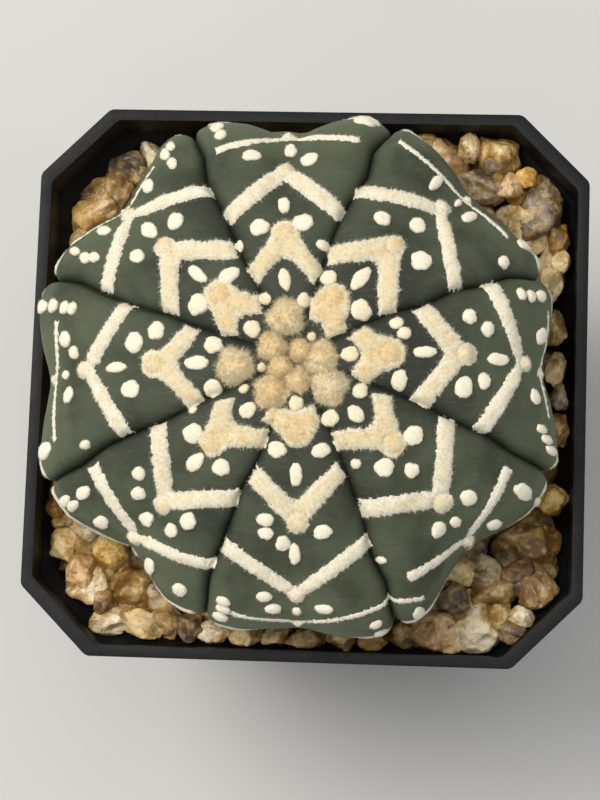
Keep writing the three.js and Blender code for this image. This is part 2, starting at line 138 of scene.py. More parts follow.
# The loose dots of wool: place, width, height and lean in degrees
DOTS_SEEN = (
    (197, 274, 24, 12, -30), (228, 276, 28, 14, 25), (198, 305, 18, 26, 0), (265, 299, 12, 14, 0),
    (285, 280, 12, 24, 0), (304, 299, 13, 16, 0), (253, 329, 18, 17, 0), (213, 345, 19, 18, 0),
    (195, 363, 26, 14, 8), (212, 388, 18, 18, 0), (243, 389, 14, 8, 0), (248, 410, 19, 15, 40),
    (296, 402, 15, 16, 0), (330, 418, 19, 17, 0), (356, 414, 20, 15, -50), (360, 391, 15, 17, 0),
    (350, 354, 19, 15, 0), (362, 309, 18, 28, 0), (329, 277, 18, 16, 0), (361, 278, 28, 14, 55),
    (323, 245, 14, 10, 0), (238, 244, 9, 12, 0), (421, 261, 18, 26, 0), (425, 352, 24, 12, 0),
    (397, 323, 15, 12, 0), (404, 333, 15, 12, 0), (399, 380, 16, 22, 0), (157, 331, 16, 20, 0),
    (192, 409, 10, 8, 0), (193, 434, 19, 22, 0), (195, 463, 24, 14, 60), (222, 467, 20, 16, 0),
    (277, 449, 20, 17, 0), (321, 451, 20, 15, 0), (296, 474, 13, 24, 0), (356, 464, 11, 10, 0),
    (385, 468, 22, 18, 0), (412, 470, 16, 15, 0), (413, 435, 18, 24, 0), (189, 521, 16, 17, 0),
    (265, 520, 18, 13, 0), (266, 533, 16, 12, 0), (260, 227, 21, 16, 30), (303, 223, 26, 16, -25),
    (284, 205, 12, 16, 0), (252, 157, 20, 10, 0), (309, 160, 18, 12, 0), (291, 149, 13, 12, 0),
    (382, 219, 18, 14, -15), (148, 229, 17, 15, -30), (176, 222, 20, 14, 15), (138, 257, 13, 16, 0),
    (106, 232, 13, 9, 20), (149, 188, 14, 11, 30), (86, 258, 10, 12, 0), (95, 258, 9, 12, 0),
    (173, 165, 11, 10, 0), (166, 156, 12, 9, 30), (171, 147, 10, 7, 30), (76, 252, 9, 9, 0),
    (217, 128, 18, 7, -10), (221, 136, 19, 6, -10), (365, 122, 24, 6, -6), (418, 225, 17, 14, -30),
    (436, 184, 10, 16, -40), (469, 217, 12, 15, -35), (459, 202, 6, 7, 0), (505, 261, 10, 15, 0),
    (523, 245, 18, 8, -25), (135, 343, 17, 23, 20), (116, 367, 21, 11, 0), (131, 389, 19, 18, 0),
    (64, 375, 7, 9, 0), (69, 395, 10, 17, 0), (67, 340, 10, 16, 0), (75, 353, 9, 13, 0),
    (44, 307, 9, 14, 0), (54, 306, 8, 15, 0), (65, 308, 8, 15, 0), (74, 309, 8, 14, 0),
    (84, 445, 10, 9, 0), (45, 451, 11, 18, 0), (469, 317, 14, 16, 0), (487, 330, 12, 18, -20),
    (499, 359, 21, 13, 0), (463, 388, 18, 22, 0), (484, 381, 13, 17, 0), (534, 397, 8, 16, 0),
    (539, 337, 7, 17, 0), (521, 294, 8, 14, 0), (531, 296, 8, 14, 0), (541, 296, 8, 13, 0),
    (540, 429, 8, 10, 40), (546, 440, 9, 10, 40), (552, 451, 9, 10, 40), (140, 473, 12, 15, 0),
    (139, 493, 12, 16, 0), (146, 520, 13, 16, 15), (172, 530, 15, 13, 0), (84, 493, 14, 13, 0),
    (65, 501, 9, 13, 0), (75, 505, 9, 13, 0), (104, 521, 15, 10, -30), (151, 564, 9, 16, 25),
    (180, 589, 15, 10, -35), (209, 568, 9, 14, 0), (323, 532, 20, 14, 20), (283, 543, 15, 16, 0),
    (295, 555, 12, 22, 0), (265, 595, 16, 9, 0), (273, 607, 17, 8, 0), (324, 607, 18, 8, 0),
    (297, 612, 9, 7, 0), (223, 601, 17, 8, 0), (223, 609, 17, 7, 0), (220, 617, 18, 7, 0),
    (382, 562, 11, 8, 0), (376, 625, 14, 6, 0), (381, 633, 15, 7, 0), (468, 497, 14, 20, 0),
    (438, 529, 20, 13, 15), (456, 523, 10, 12, 0), (523, 492, 19, 16, -30), (493, 524, 15, 8, 30),
    (535, 501, 9, 12, 0), (419, 612, 15, 9, 25), (312, 336, 10, 9, 0), (262, 367, 9, 9, 0),
)

# The stones that the photograph shows: place, width, height and lean, and their kind of quartz:
# 0 pale, 1 golden, 2 amber, 3 tan, 4 grey-brown, 5 pink-brown.
STONES_SEEN = (
    (82, 216, 40, 44, 10, 2), (118, 189, 32, 46, -15, 0), (126, 158, 40, 34, 20, 4),
    (97, 189, 24, 34, 0, 3), (153, 148, 24, 30, 40, 0), (78, 238, 26, 24, 0, 3),
    (104, 206, 30, 24, 0, 5), (139, 175, 26, 22, 0, 3), (84, 186, 22, 26, 0, 4),
    (444, 149, 52, 42, -25, 0), (470, 146, 20, 30, 0, 0), (505, 156, 44, 46, -10, 1),
    (482, 186, 50, 36, -15, 4), (510, 188, 26, 26, 0, 5), (547, 205, 46, 60, 10, 4),
    (524, 229, 40, 52, 35, 3), (559, 241, 20, 32, 0, 2), (550, 283, 26, 46, -5, 1),
    (495, 168, 30, 24, 0, 3), (528, 178, 22, 20, 0, 2), (425, 138, 30, 20, 0, 3),
    (561, 262, 18, 24, 0, 1), (556, 330, 20, 34, 0, 3), (556, 370, 20, 36, 0, 3),
    (559, 398, 20, 28, 0, 4), (559, 430, 18, 30, 0, 1), (554, 500, 28, 30, 0, 2),
    (60, 544, 42, 38, 10, 1), (51, 508, 20, 22, 0, 2), (86, 528, 34, 26, 0, 4),
    (113, 553, 32, 30, -20, 2), (81, 574, 44, 34, 25, 5), (133, 588, 54, 50, 0, 1),
    (86, 591, 42, 40, 10, 0), (105, 603, 22, 26, 0, 5), (104, 627, 42, 30, 0, 0),
    (145, 628, 36, 30, 0, 3), (167, 622, 30, 32, 0, 0), (190, 627, 30, 26, 0, 4),
    (215, 634, 32, 24, 0, 0), (247, 632, 34, 26, 0, 1), (276, 634, 26, 22, 0, 3),
    (306, 639, 38, 20, 0, 0), (342, 639, 28, 20, 0, 3), (373, 640, 30, 20, 0, 1),
    (403, 634, 26, 26, 0, 3), (535, 543, 64, 44, -5, 1), (480, 571, 46, 32, -20, 4),
    (520, 572, 30, 26, 0, 5), (546, 593, 38, 46, 15, 0), (496, 592, 42, 30, 0, 3),
    (455, 597, 32, 30, 0, 4), (435, 634, 50, 40, 10, 5), (480, 632, 46, 46, 0, 0),
    (520, 617, 24, 20, 0, 0), (462, 572, 28, 26, 0, 1), (500, 617, 26, 26, 0, 3),
    (517, 636, 26, 22, 0, 4), (46, 488, 18, 24, 0, 3), (62, 520, 24, 20, 0, 3),
)


class PlantSettings(bpy.types.PropertyGroup):
    """Sizes and colours of the plant."""

    radius: bpy.props.FloatProperty(name="Radius", default=39.2, min=30, max=44,
        description="Radius at the middle of a rib, in millimetres")
    equator: bpy.props.FloatProperty(name="Equator", default=89, min=80, max=95,
        description="Height of the widest part over the pot's underside, in millimetres")
    dome: bpy.props.FloatProperty(name="Dome", default=16, min=10, max=22,
        description="Height of the crown over the widest part, in millimetres")
    groove: bpy.props.FloatProperty(name="Groove", default=3.0, min=0.5, max=6,
        description="Depth of a groove at the shoulder, in millimetres")
    skin: bpy.props.FloatVectorProperty(name="Skin", subtype="COLOR", default=(0.034, 0.040, 0.0245),
        description="Colour of the skin on top")
    skin_side: bpy.props.FloatVectorProperty(name="Skin side", subtype="COLOR",
        default=(0.128, 0.151, 0.088), description="Colour of the skin low on the sides")


class WoolSettings(bpy.types.PropertyGroup):
    """Sizes and colours of the wool."""

    arm: bpy.props.FloatProperty(name="Arm", default=2.1, min=1, max=4,
        description="Width of a chevron's arm, in millimetres")
    height: bpy.props.FloatProperty(name="Height", default=0.42, min=0.2, max=2,
        description="How far an arm stands out of the skin, in millimetres")
    tuft: bpy.props.FloatProperty(name="Tuft", default=1.0, min=0.2, max=3,
        description="How far a tuft at the crown stands out of the skin, in millimetres")
    hair: bpy.props.FloatProperty(name="Hair", default=0.55, min=0.2, max=3,
        description="Length of the felt's hairs, in millimetres")
    white: bpy.props.FloatVectorProperty(name="White", subtype="COLOR", default=(0.96, 0.90, 0.74),
        description="Colour of the outer marks")
    cream: bpy.props.FloatVectorProperty(name="Cream", subtype="COLOR", default=(0.88, 0.76, 0.50),
        description="Colour of the inner chevrons")
    tan: bpy.props.FloatVectorProperty(name="Tan", subtype="COLOR", default=(0.87, 0.63, 0.31),
        description="Colour of the tufts at the crown")


class GravelSettings(bpy.types.PropertyGroup):
    """Level, slope and seed of the gravel."""

    level: bpy.props.FloatProperty(name="Level", default=74.0, min=60, max=79,
        description="Height of the gravel over the pot's underside in the middle, in millimetres")
    rise: bpy.props.FloatProperty(name="Rise", default=0.028, min=0, max=0.1,
        description="How much the gravel rises towards the right and the front")
    corner_rise: bpy.props.FloatProperty(name="Corner rise", default=0.05, min=0, max=0.1,
        description="How much the gravel rises into the right back corner")
    seed: bpy.props.IntProperty(name="Seed", default=5, description="Seed of the stones' shapes")


class PotSettings(bpy.types.PropertyGroup):
    """Sizes and colour of the pot."""

    lip: bpy.props.FloatProperty(name="Lip", default=1.8, min=1, max=4,
        description="Width of the rim's flat top, in millimetres")
    band: bpy.props.FloatProperty(name="Band", default=9, min=3, max=20,
        description="Height of the band under the rim, in millimetres")
    plastic: bpy.props.FloatVectorProperty(name="Plastic", subtype="COLOR",
        default=(0.005, 0.005, 0.0055), description="Colour of the plastic")


class StageSettings(bpy.types.PropertyGroup):
    """The floor and the light."""

    floor: bpy.props.FloatVectorProperty(name="Floor", subtype="COLOR", default=(0.66, 0.645, 0.615),
        description="Colour of the floor")
    key: bpy.props.FloatProperty(name="Lamps", default=1.0, min=0, max=10,
        description="Strength of the soft lamps at the upper left and overhead")
    sky: bpy.props.FloatProperty(name="Sky light", default=0.48, min=0, max=5,
        description="Strength of the light from all round")


def seeded(seed):
    return np.random.default_rng(seed)


def bell(distance, width):
    """One at no distance, falling smoothly to nothing within about twice the width."""
    return np.exp(-((distance / width) ** 2))


def unit(vectors):
    """The vectors' directions, each one long."""
    lengths = np.linalg.norm(vectors, axis=-1, keepdims=True)
    return vectors / np.maximum(lengths, 1e-9)


# The view

def view_rotation():
    """Turns a direction of the model into the camera's axes."""
    x, y, z = (math.radians(tilt) for tilt in CAMERA_TILTS)
    turned = Matrix.Rotation(x, 3, "X") @ Matrix.Rotation(y, 3, "Y") @ Matrix.Rotation(z, 3, "Z")
    return np.array(turned)


FOCAL_PIXELS = CAMERA_LENS / PHOTO_SENSOR * PHOTO_HEIGHT


def camera_point():
    """Where the camera stands, in millimetres."""
    return -view_rotation().T @ np.array(CAMERA_PLACE) + np.array((0, 0, RIM_TOP))


def photo_pixels(points):
    """Where the photograph shows points that are given in millimetres."""
    seen = (points - np.array((0, 0, RIM_TOP))) @ view_rotation().T + np.array(CAMERA_PLACE)
    across = PHOTO_WIDTH / 2 - FOCAL_PIXELS * seen[..., 0] / seen[..., 2]
    down = PHOTO_HEIGHT / 2 + FOCAL_PIXELS * seen[..., 1] / seen[..., 2]
    return np.stack((across, down), -1)


def under_pixel(x, y, height):
    """The point at a height that the photograph shows at a pixel."""
    ray = view_rotation().T @ np.array((x - PHOTO_WIDTH / 2, PHOTO_HEIGHT / 2 - y, -FOCAL_PIXELS))
    start = camera_point()
    return start + ray * (height - start[2]) / ray[2]


# The plant's skin

class Skin:
    """The green skin: an outline from the crown to the root, carried round eight ribs.

    A place on it is a turn about the plant's axis and the distance run along the outline from the
    crown. Groove 0 and rib 0 are the ones at the right, and both are counted anticlockwise.
    """

    CENTRE = 0.5
    TURN = math.radians(3)
    OUTLINE_STEPS = 200
    DOME_POWER = 2.35
    CROWN_DIP = 0.9
    CROWN_DIP_WIDTH = 5
    UNDERSIDE = 28.0
    UNDERSIDE_POWER = 0.9
    NECK = 13.0
    ROOT_LENGTH = 34.0
    # The root's radii as shares of the neck's, and their depths as shares of the root's length
    ROOT_RADII = (0.98, 0.7, 0.45, 0.2, 0)
    ROOT_DEPTHS = (0.06, 0.4, 0.7, 0.99, 1)
    MIDDLE_HEIGHT = 78.0
    RIB_POWER = 0.6
    FULL_RIB_RADIUS = 32
    # Each groove is a sharp crease in a soft valley: their shares of its depth, and their widths
    CREASE = (0.7, 0.55)
    VALLEY = (0.3, 2.6)
    GROOVE_AT_CROWN = 0.45
    SWELL = 0.5
    MIDLINE_DIP = 0.4
    MIDLINE_WIDTH = 0.2
    LONG_WAVES = 0.14
    SHORT_WAVES = 0.08
    SHOULDER_RUN = 5
    # How far along the outline slopes are measured, in millimetres, and how far about the axis
    SLOPE_RUN = 0.4
    SLOPE_TURN = 0.02
    # The net of places on the visible skin: its first run and its steps, and how far it goes on
    NET_START = 0.25
    NET_RUN = 0.45
    NET_TURN = math.pi / 400
    PAST_EQUATOR = 6
    NEIGHBOURS = 4
    GROOVE_RUNS = np.arange(5.0, 46.0, 5.0)
    GROOVE_EVENS_OUT = 22
    # The search for the nearest run starts at a first guess, and betters it a few times.
    FIRST_GUESS = 20.0
    ROUNDS = 3

    def __init__(self, plant):
        self.plant = plant
        turn = np.linspace(0, math.pi / 2, self.OUTLINE_STEPS)
        dome = plant.radius * np.sin(turn) ** (2 / self.DOME_POWER)
        dome_height = plant.equator + plant.dome * np.cos(turn) ** (2 / self.DOME_POWER)
        dome_height -= self.CROWN_DIP * bell(dome, self.CROWN_DIP_WIDTH)
        under = self.NECK + (plant.radius - self.NECK) * np.cos(turn[1:]) ** self.UNDERSIDE_POWER
        under_height = plant.equator - self.UNDERSIDE * np.sin(turn[1:])
        root = np.array(self.ROOT_RADII) * self.NECK
        root_height = under_height[-1] - self.ROOT_LENGTH * np.array(self.ROOT_DEPTHS)
        self.radii = np.concatenate((dome, under, root))
        self.heights = np.concatenate((dome_height, under_height, root_height))
        steps = np.hypot(np.diff(self.radii), np.diff(self.heights))
        self.runs = np.concatenate(((0.0,), np.cumsum(steps)))
        self.equator_run = self.runs[len(dome) - 1]
        self.neck_run = self.runs[len(dome) + len(under) - 1]
        self.even = (np.arange(RIBS) + 0.5) * 2 * HALF_RIB + self.TURN
        # Until they follow the photograph, the grooves are evenly spaced and the limb is round.
        self.groove_runs = np.array((0.0, 60.0))
        self.groove_turns = np.stack((self.even, self.even))
        self.limb_turns = np.array((0.0, 3.0))
        self.limb_reach = np.ones(2)
        self.sample()
        self.follow_grooves()
        self.follow_limb()
        self.sample()

    def outline(self, run):
        """Radius and height of the outline, and the direction out of it."""
        ahead = np.minimum(run + self.SLOPE_RUN, self.runs[-1])
        behind = np.maximum(run - self.SLOPE_RUN, 0)
        down = np.interp(behind, self.runs, self.heights) - np.interp(ahead, self.runs, self.heights)
        away = np.interp(ahead, self.runs, self.radii) - np.interp(behind, self.runs, self.radii)
        length = np.maximum(np.hypot(down, away), 1e-6)
        radius = np.interp(run, self.runs, self.radii)
        return radius, np.interp(run, self.runs, self.heights), down / length, away / length

    def rib_at(self, turn, run):
        """The rib at a place, and the place's share from -1 to 1 across it."""
        lines = np.stack([np.interp(run, self.groove_runs, turns) for turns in self.groove_turns.T], -1)
        whole = 2 * math.pi
        lines = np.concatenate((lines[..., -1:] - whole, lines, lines[..., :1] + whole), -1)
        turn = np.mod(turn, whole)
        passed = np.sum(turn[..., None] >= lines, -1)
        before = np.take_along_axis(lines, passed[..., None] - 1, -1)[..., 0]
        after = np.take_along_axis(lines, passed[..., None], -1)[..., 0]
        return (passed - 1) % RIBS, 2 * (turn - before) / (after - before) - 1

    def turn_at(self, rib, share, run):
        """The turn at a share across a rib."""
        before = np.interp(run, self.groove_runs, self.groove_turns[:, rib - 1])
        after = np.interp(run, self.groove_runs, self.groove_turns[:, rib])
        before = before - 2 * math.pi * (rib == 0)
        return before + (after - before) * (np.asarray(share) + 1) / 2

    def ribbing(self, run):
        """How strongly the ribs show: not at all at the crown and the neck, and most between."""
        return np.sin(math.pi * np.clip(run / self.neck_run, 0, 1)) ** self.RIB_POWER

    def widening(self, turn, run, share):
        """How much further the skin reaches than the outline, by the ribs' flats and the limb."""
        rise = np.clip((run - self.SHOULDER_RUN) / (self.equator_run - self.SHOULDER_RUN), 0, 1)
        rise = rise * rise * (3 - 2 * rise)
        limb = np.interp(turn, self.limb_turns, self.limb_reach, period=2 * math.pi)
        flats = 1 + (1 / np.cos(share * HALF_RIB) - 1) * self.ribbing(run)
        return flats * (1 + (limb - 1) * rise)

    def point(self, turn, run, raised=0.0, smooth=False):
        """Points of the skin, or raised from it. The smooth skin has no grooves."""
        turn, run = np.broadcast_arrays(np.asarray(turn, float), np.asarray(run, float))
        radius, height, outward, upward = self.outline(run)
        rib, share = self.rib_at(turn, run)
        lift = np.asarray(raised, float)
        if not smooth:
            grown = np.clip(radius / self.FULL_RIB_RADIUS, 0, 1)
            from_groove = (1 - np.abs(share)) * HALF_RIB * radius
            crease = sum(part * np.exp(-from_groove / width) for part, width in (self.CREASE, self.VALLEY))
            crease = crease * (self.GROOVE_AT_CROWN + (1 - self.GROOVE_AT_CROWN) * grown)
            swell = self.SWELL * np.sin(math.pi * np.abs(share)) ** 2
            swell = swell - self.MIDLINE_DIP * bell(share, self.MIDLINE_WIDTH)
            waves = self.LONG_WAVES * np.sin(run * 0.6 + rib * 1.7)
            waves = waves + self.SHORT_WAVES * np.sin(run * 1.5 + share * 5 + rib)
            swell = grown * (swell + waves * (1 - share ** 2))
            lift = lift + self.ribbing(run) * (swell - self.plant.groove * crease)
        across = radius * self.widening(turn, run, share) + outward * lift
        up = height + upward * lift
        return np.stack((self.CENTRE + across * np.cos(turn), across * np.sin(turn), up), -1)

    def nearest(self, points):
        """The turn and the run of the skin nearest to points close to it."""
        x = points[..., 0] - self.CENTRE
        turn = np.mod(np.arctan2(points[..., 1], x), 2 * math.pi)
        fall = np.arctan2(self.radii, self.heights - self.MIDDLE_HEIGHT)
        run = np.full(turn.shape, self.FIRST_GUESS)
        for _ in range(self.ROUNDS):
            share = self.rib_at(turn, run)[1]
            radius = np.hypot(x, points[..., 1]) / self.widening(turn, run, share)
            run = np.interp(np.arctan2(radius, points[..., 2] - self.MIDDLE_HEIGHT), fall, self.runs)
        return turn, run

    def slope(self, turn, run):
        """A short step down the smooth skin."""
        below = self.point(turn, run + self.SLOPE_RUN, smooth=True)
        return below - self.point(turn, np.maximum(run - self.SLOPE_RUN, 0), smooth=True)

    def normal(self, turn, run):
        """The direction out of the smooth skin."""
        ahead = self.point(turn + self.SLOPE_TURN, run, smooth=True)
        around = ahead - self.point(turn - self.SLOPE_TURN, run, smooth=True)
        return unit(np.cross(self.slope(turn, run), around))

    def sample(self):
        """Notes where the photograph would show a fine net of places on the visible skin."""
        turns, runs = np.meshgrid(np.arange(0, 2 * math.pi, self.NET_TURN),
            np.arange(self.NET_START, self.equator_run + self.PAST_EQUATOR, self.NET_RUN))
        points = self.point(turns, runs, smooth=True)
        facing = np.sum(self.normal(turns, runs) * (camera_point() - points), -1) > 0
        self.shown = points[facing]
        pixels = photo_pixels(self.shown)
        self.tree = KDTree(len(pixels))
        for index, (x, y) in enumerate(pixels):
            self.tree.insert((x, y, 0), index)
        self.tree.balance()

    def seen_at(self, x, y):
        """The point of the skin that the photograph shows at a pixel."""
        total = 0
        mean = np.zeros(3)
        for _, index, gap in self.tree.find_n((x, y, 0), self.NEIGHBOURS):
            weight = 1 / (gap + 0.05)
            total += weight
            mean += weight * self.shown[index]
        return mean / total

    def follow_grooves(self):
        """Bends each groove's line to the pixels at which the photograph shows it."""
        table = []
        for even, marks in zip(self.even, GROOVES_SEEN):
            turns, reached = self.nearest(np.array([self.seen_at(x, y) for x, y in marks]))
            turns = turns + 2 * math.pi * np.round((even - turns) / (2 * math.pi))
            order = np.argsort(reached)
            table.append(np.interp(self.GROOVE_RUNS, reached[order], turns[order]))
        turns = np.stack(table, -1)
        last_run = self.equator_run + self.GROOVE_EVENS_OUT
        self.groove_runs = np.concatenate(((0.0,), self.GROOVE_RUNS, (last_run,)))
        self.groove_turns = np.concatenate((turns[:1], turns, 0.5 * (self.even[None] + turns[-1:])))

    def follow_limb(self):
        """Reaches to the outline that the photograph shows."""
        marks = np.array([under_pixel(x, y, self.plant.equator) for x, y in LIMB_SEEN])
        marks[:, 0] -= self.CENTRE
        turns = np.mod(np.arctan2(marks[:, 1], marks[:, 0]), 2 * math.pi)
        wanted = np.hypot(marks[:, 1], marks[:, 0])
        edge = self.point(turns, self.equator_run, smooth=True)
        modelled = np.hypot(edge[:, 1], edge[:, 0] - self.CENTRE)
        order = np.argsort(turns)
        self.limb_turns = turns[order]
        self.limb_reach = (wanted / modelled)[order]


# Meshes

def finish_piece(made, material):
    """Smooths a finished piece, gives it its material and rides it with the pot."""
    made.data.materials.clear()
    made.data.materials.append(material)
    made.data.shade_smooth()
    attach(made, BODY)


def taken(made):
    """The points and faces of a modelled shape, which is then removed."""
    points = np.array([vertex.co for vertex in made.data.vertices])
    faces = [tuple(polygon.vertices) for polygon in made.data.polygons]
    bpy.data.objects.remove(made)
    return points, faces


def add_trait(mesh, trait, values):
    """Gives each point of a mesh a value that its material reads."""
    made = mesh.attributes.new(trait, "FLOAT", "POINT")
    made.data.foreach_set("value", values.astype(np.float32))


class Heap:
    """Copies of modelled shapes, in millimetres, that are joined into one piece."""

    def __init__(self, *traits):
        self.points = []
        self.faces = []
        self.traits = {trait: [] for trait in traits}
        self.count = 0

    def add(self, points, faces, **traits):
        points = np.asarray(points).reshape(-1, 3)
        self.points.append(points)
        if isinstance(faces, np.ndarray):
            self.faces.extend((faces + self.count).tolist())
        else:
            self.faces.extend([tuple(corner + self.count for corner in face) for face in faces])
        for trait, values in traits.items():
            self.traits[trait].append(np.broadcast_to(np.asarray(values, float), (len(points),)))
        self.count += len(points)

    def piece(self, name, slot, material):
        mesh = bpy.data.meshes.new(name)
        mesh.from_pydata((np.concatenate(self.points) * MM).tolist(), [], self.faces)
        for trait, values in self.traits.items():
            add_trait(mesh, trait, np.concatenate(values))
        made = bpy.data.objects.new(name, mesh)
        bpy.context.scene.collection.objects.link(made)
        finish_piece(made, material)
        return made


RIPPLE_WAVES = 10


def ripples(places, size, random):
    """Smooth seeded roughness of about 1 each way, with bumps of about the given size."""
    total = np.zeros(places.shape[:-1])
    for _ in range(RIPPLE_WAVES):
        way = unit(random.normal(size=places.shape[-1])) * random.uniform(0.6, 1.4) * 2 * math.pi / size
        total += np.sin(places @ way + random.uniform(0, 2 * math.pi))
    return total / math.sqrt(RIPPLE_WAVES)


# Wool

# The pitch of the felt's net, the hairs' thickness and the length of the tufts' hairs
NET_PITCH = 0.22
HAIR_THICKNESS = 0.025
TUFT_HAIR = 0.8
# A hair's shades at its three root corners and its tip: painted shade at the root, and a painted highlight at
# the tip
HAIR_PAINTED_SHADE_AND_HIGHLIGHT = (0.92, 0.92, 0.92, 1.1)
ARM_STEPS = 12
# How far apart the areoles of a rib are
AREOLE_SPACING = 11.6
DOT_HEIGHT = 0.62
DOT_HAIRS = 80
# The dots on the steep sides are held to at least so many pixels to a millimetre, and to a half size
LEAST_PIXELS = 2.6
WIDEST_DOT = 2.2
# How far the wool has yellowed: at the limb, how much further at the crown, and how far out
LIMB_CREAM = 0.09
CROWN_CREAM = 0.78
CREAM_REACH = 24
# How far out the chevrons are broad and high, as they are at the crown
INNER_REACH = 22
# Pixels of the photograph to a millimetre of wool, and of a stone's width
WOOL_PIXELS = 6.6
STONE_PIXELS = 5.4


def hairs(heap, roots, ways, lengths, cream, shade, random):
    """Four-faced hairs, each from its root along its way, darker at the root with painted shade, and lighter
    at the tip with a painted highlight.
    """
    side = unit(np.cross(ways, random.normal(size=ways.shape)))
    other = np.cross(ways, side)
    corners = [roots + HAIR_THICKNESS * (math.cos(turn) * side + math.sin(turn) * other)
        for turn in (0, 2 * math.pi / 3, 4 * math.pi / 3)]
    points = np.stack((*corners, roots + ways * lengths[:, None]), 1).reshape(-1, 3)
    first = 4 * np.arange(len(roots))[:, None, None]
    faces = (first + np.array(((0, 1, 3), (1, 2, 3), (2, 0, 3), (0, 2, 1)))).reshape(-1, 3)
    shade = np.outer(shade, HAIR_PAINTED_SHADE_AND_HIGHLIGHT).ravel()
    heap.add(points, faces, cream=np.repeat(np.broadcast_to(cream, len(roots)), 4), shade=shade)


def smooth_max(first, second, blend):
    """The larger of two depths, with a soft web where they are about equal."""
    share = np.clip(0.5 + 0.5 * (first - second) / blend, 0, 1)
    return first * share + second * (1 - share) + blend * share * (1 - share)


def band_depth(flat, path, widths):
    """How deep each place lies inside a band along a path, and the way out of the band."""
    depth = np.full(len(flat), -np.inf)
    away = np.zeros((len(flat), 2))
    for step in range(len(path) - 1):
        along = path[step + 1] - path[step]
        share = np.clip((flat - path[step]) @ along / max(along @ along, 1e-9), 0, 1)
        gap = flat - path[step] - share[:, None] * along
        inside = widths[step] + (widths[step + 1] - widths[step]) * share - np.linalg.norm(gap, axis=-1)
        closer = inside > depth
        depth[closer] = inside[closer]
        away[closer] = gap[closer]
    return depth, away


class FeltPatch:
    """A patch of felt on the skin, shaped on a net that lies flat at the patch's middle."""

    # How far the skin falls away from the net's plane: about the skin's radius, doubled
    SKIN_CURVE = 70
    UNDERSIDE = -0.45
    # Where the net is cut off, and how far the edge drops or rises before it is at full height
    EDGE_KEPT = -0.04
    DEEPEST_EDGE = 0.3
    # The felt's shade, and how far it varies
    SHADE = 0.90
    MOTTLE = 0.06

    def __init__(self, skin, path, margin, random):
        self.skin = skin
        self.random = random
        self.centre = path.mean(0)
        self.out = skin.normal(*skin.nearest(self.centre))
        ahead = path[len(path) // 2] - (path[0] + path[-1]) / 2
        self.ahead = unit(ahead - self.out * (ahead @ self.out))
        self.aside = np.cross(self.out, self.ahead)
        self.path = self.flattened(path)
        low = self.path.min(0) - margin
        size = self.path.max(0) + margin - low
        columns, rows = (size / NET_PITCH).astype(int)
        deselect()
        bpy.ops.mesh.primitive_grid_add(x_subdivisions=int(columns), y_subdivisions=int(rows), size=2)
        points, faces = taken(bpy.context.object)
        self.flat = low + (points[:, :2] + 1) / 2 * size
        self.faces = np.array(faces)

    def flattened(self, points):
        """Where points lie on the net, ahead and aside of its middle."""
        return np.stack(((points - self.centre) @ self.ahead, (points - self.centre) @ self.aside), -1)

    def lifted(self, flat, lift):
        """Points over the skin at places of the net, with the skin's own direction out."""
        spread = self.centre + self.ahead * flat[:, :1] + self.aside * flat[:, 1:]
        spread = spread - self.out * (np.sum(flat ** 2, -1) / self.SKIN_CURVE)[:, None]
        return self.skin.point(*self.skin.nearest(spread), lift)

    def fill(self, heap, depth, away, height, soft, cream, hair, edge_hairs, top_hairs, stray):
        """Adds the felt where the depth is over nothing, closed by an underside in the skin."""
        random = self.random
        depth = depth + 0.1 * ripples(self.flat, 1.0, random) + 0.1 * ripples(self.flat, 0.4, random)
        kept = self.faces[(depth[self.faces] > self.EDGE_KEPT).any(-1)]
        used, faces = np.unique(kept, return_inverse=True)
        faces = faces.reshape(kept.shape)
        flat, depth, away, height = self.flat[used], depth[used], away[used], height[used]
        inside = np.maximum(depth, 0)
        lumps = 0.09 * ripples(flat, 1.8, random) + 0.05 * ripples(flat, 0.5, random)
        lift = height * (1 - np.exp(-inside / soft)) + np.clip(inside, 0, self.DEEPEST_EDGE) * lumps
        lift = np.where(depth < 0, np.maximum(depth, -self.DEEPEST_EDGE), lift)
        top = self.lifted(flat, lift)
        under = self.lifted(flat, np.full(len(flat), self.UNDERSIDE))
        sides = self.sides(faces, len(flat))
        colour = cream[used] + np.clip(inside, 0, 1) * 0.14 * ripples(flat, 2.2, random)
        shade = self.SHADE + self.MOTTLE * ripples(flat, 0.6, random)
        heap.add(np.concatenate((top, under)), np.concatenate((faces, faces[:, ::-1] + len(flat), sides)),
            cream=np.tile(colour, 2), shade=np.tile(shade, 2))

        out = unit(self.lifted(flat, lift + 1) - top)
        edge = np.flatnonzero((depth > -0.05) & (depth < 0.4))
        middle = np.flatnonzero(depth > 0.2)
        for places, count, rising in ((edge, edge_hairs, 0.08), (middle, top_hairs, 0.25)):
            if not len(places) or not count:
                continue
            chosen = random.choice(places, int(count * len(places)))
            sideways = unit(away[chosen] + 1e-6) + random.normal(scale=stray, size=(len(chosen), 2))
            ways = self.ahead * sideways[:, :1] + self.aside * sideways[:, 1:]
            normal = out[chosen]
            ways = unit(ways - normal * np.sum(ways * normal, -1)[:, None])
            ways = unit(ways + normal * (rising + 0.3 * random.uniform(size=len(chosen)))[:, None])
            jitter = random.normal(scale=NET_PITCH / 2, size=(len(chosen), 2))
            roots = top[chosen] + self.ahead * jitter[:, :1] + self.aside * jitter[:, 1:] - 0.08 * normal
            lengths = hair * random.uniform(0.45, 1.2, len(chosen))
            hairs(heap, roots, ways, lengths, colour[chosen], random.uniform(0.88, 1.06, len(chosen)), random)

    def sides(self, faces, count):
        """Faces that join the rim of the felt to the rim of its underside."""
        edges = np.concatenate([faces[:, [corner, (corner + 1) % 4]] for corner in range(4)])
        known = {tuple(edge) for edge in edges.tolist()}
        rim = [edge for edge in known if edge[::-1] not in known]
        return np.array([(end, start, start + count, end + count) for start, end in rim])


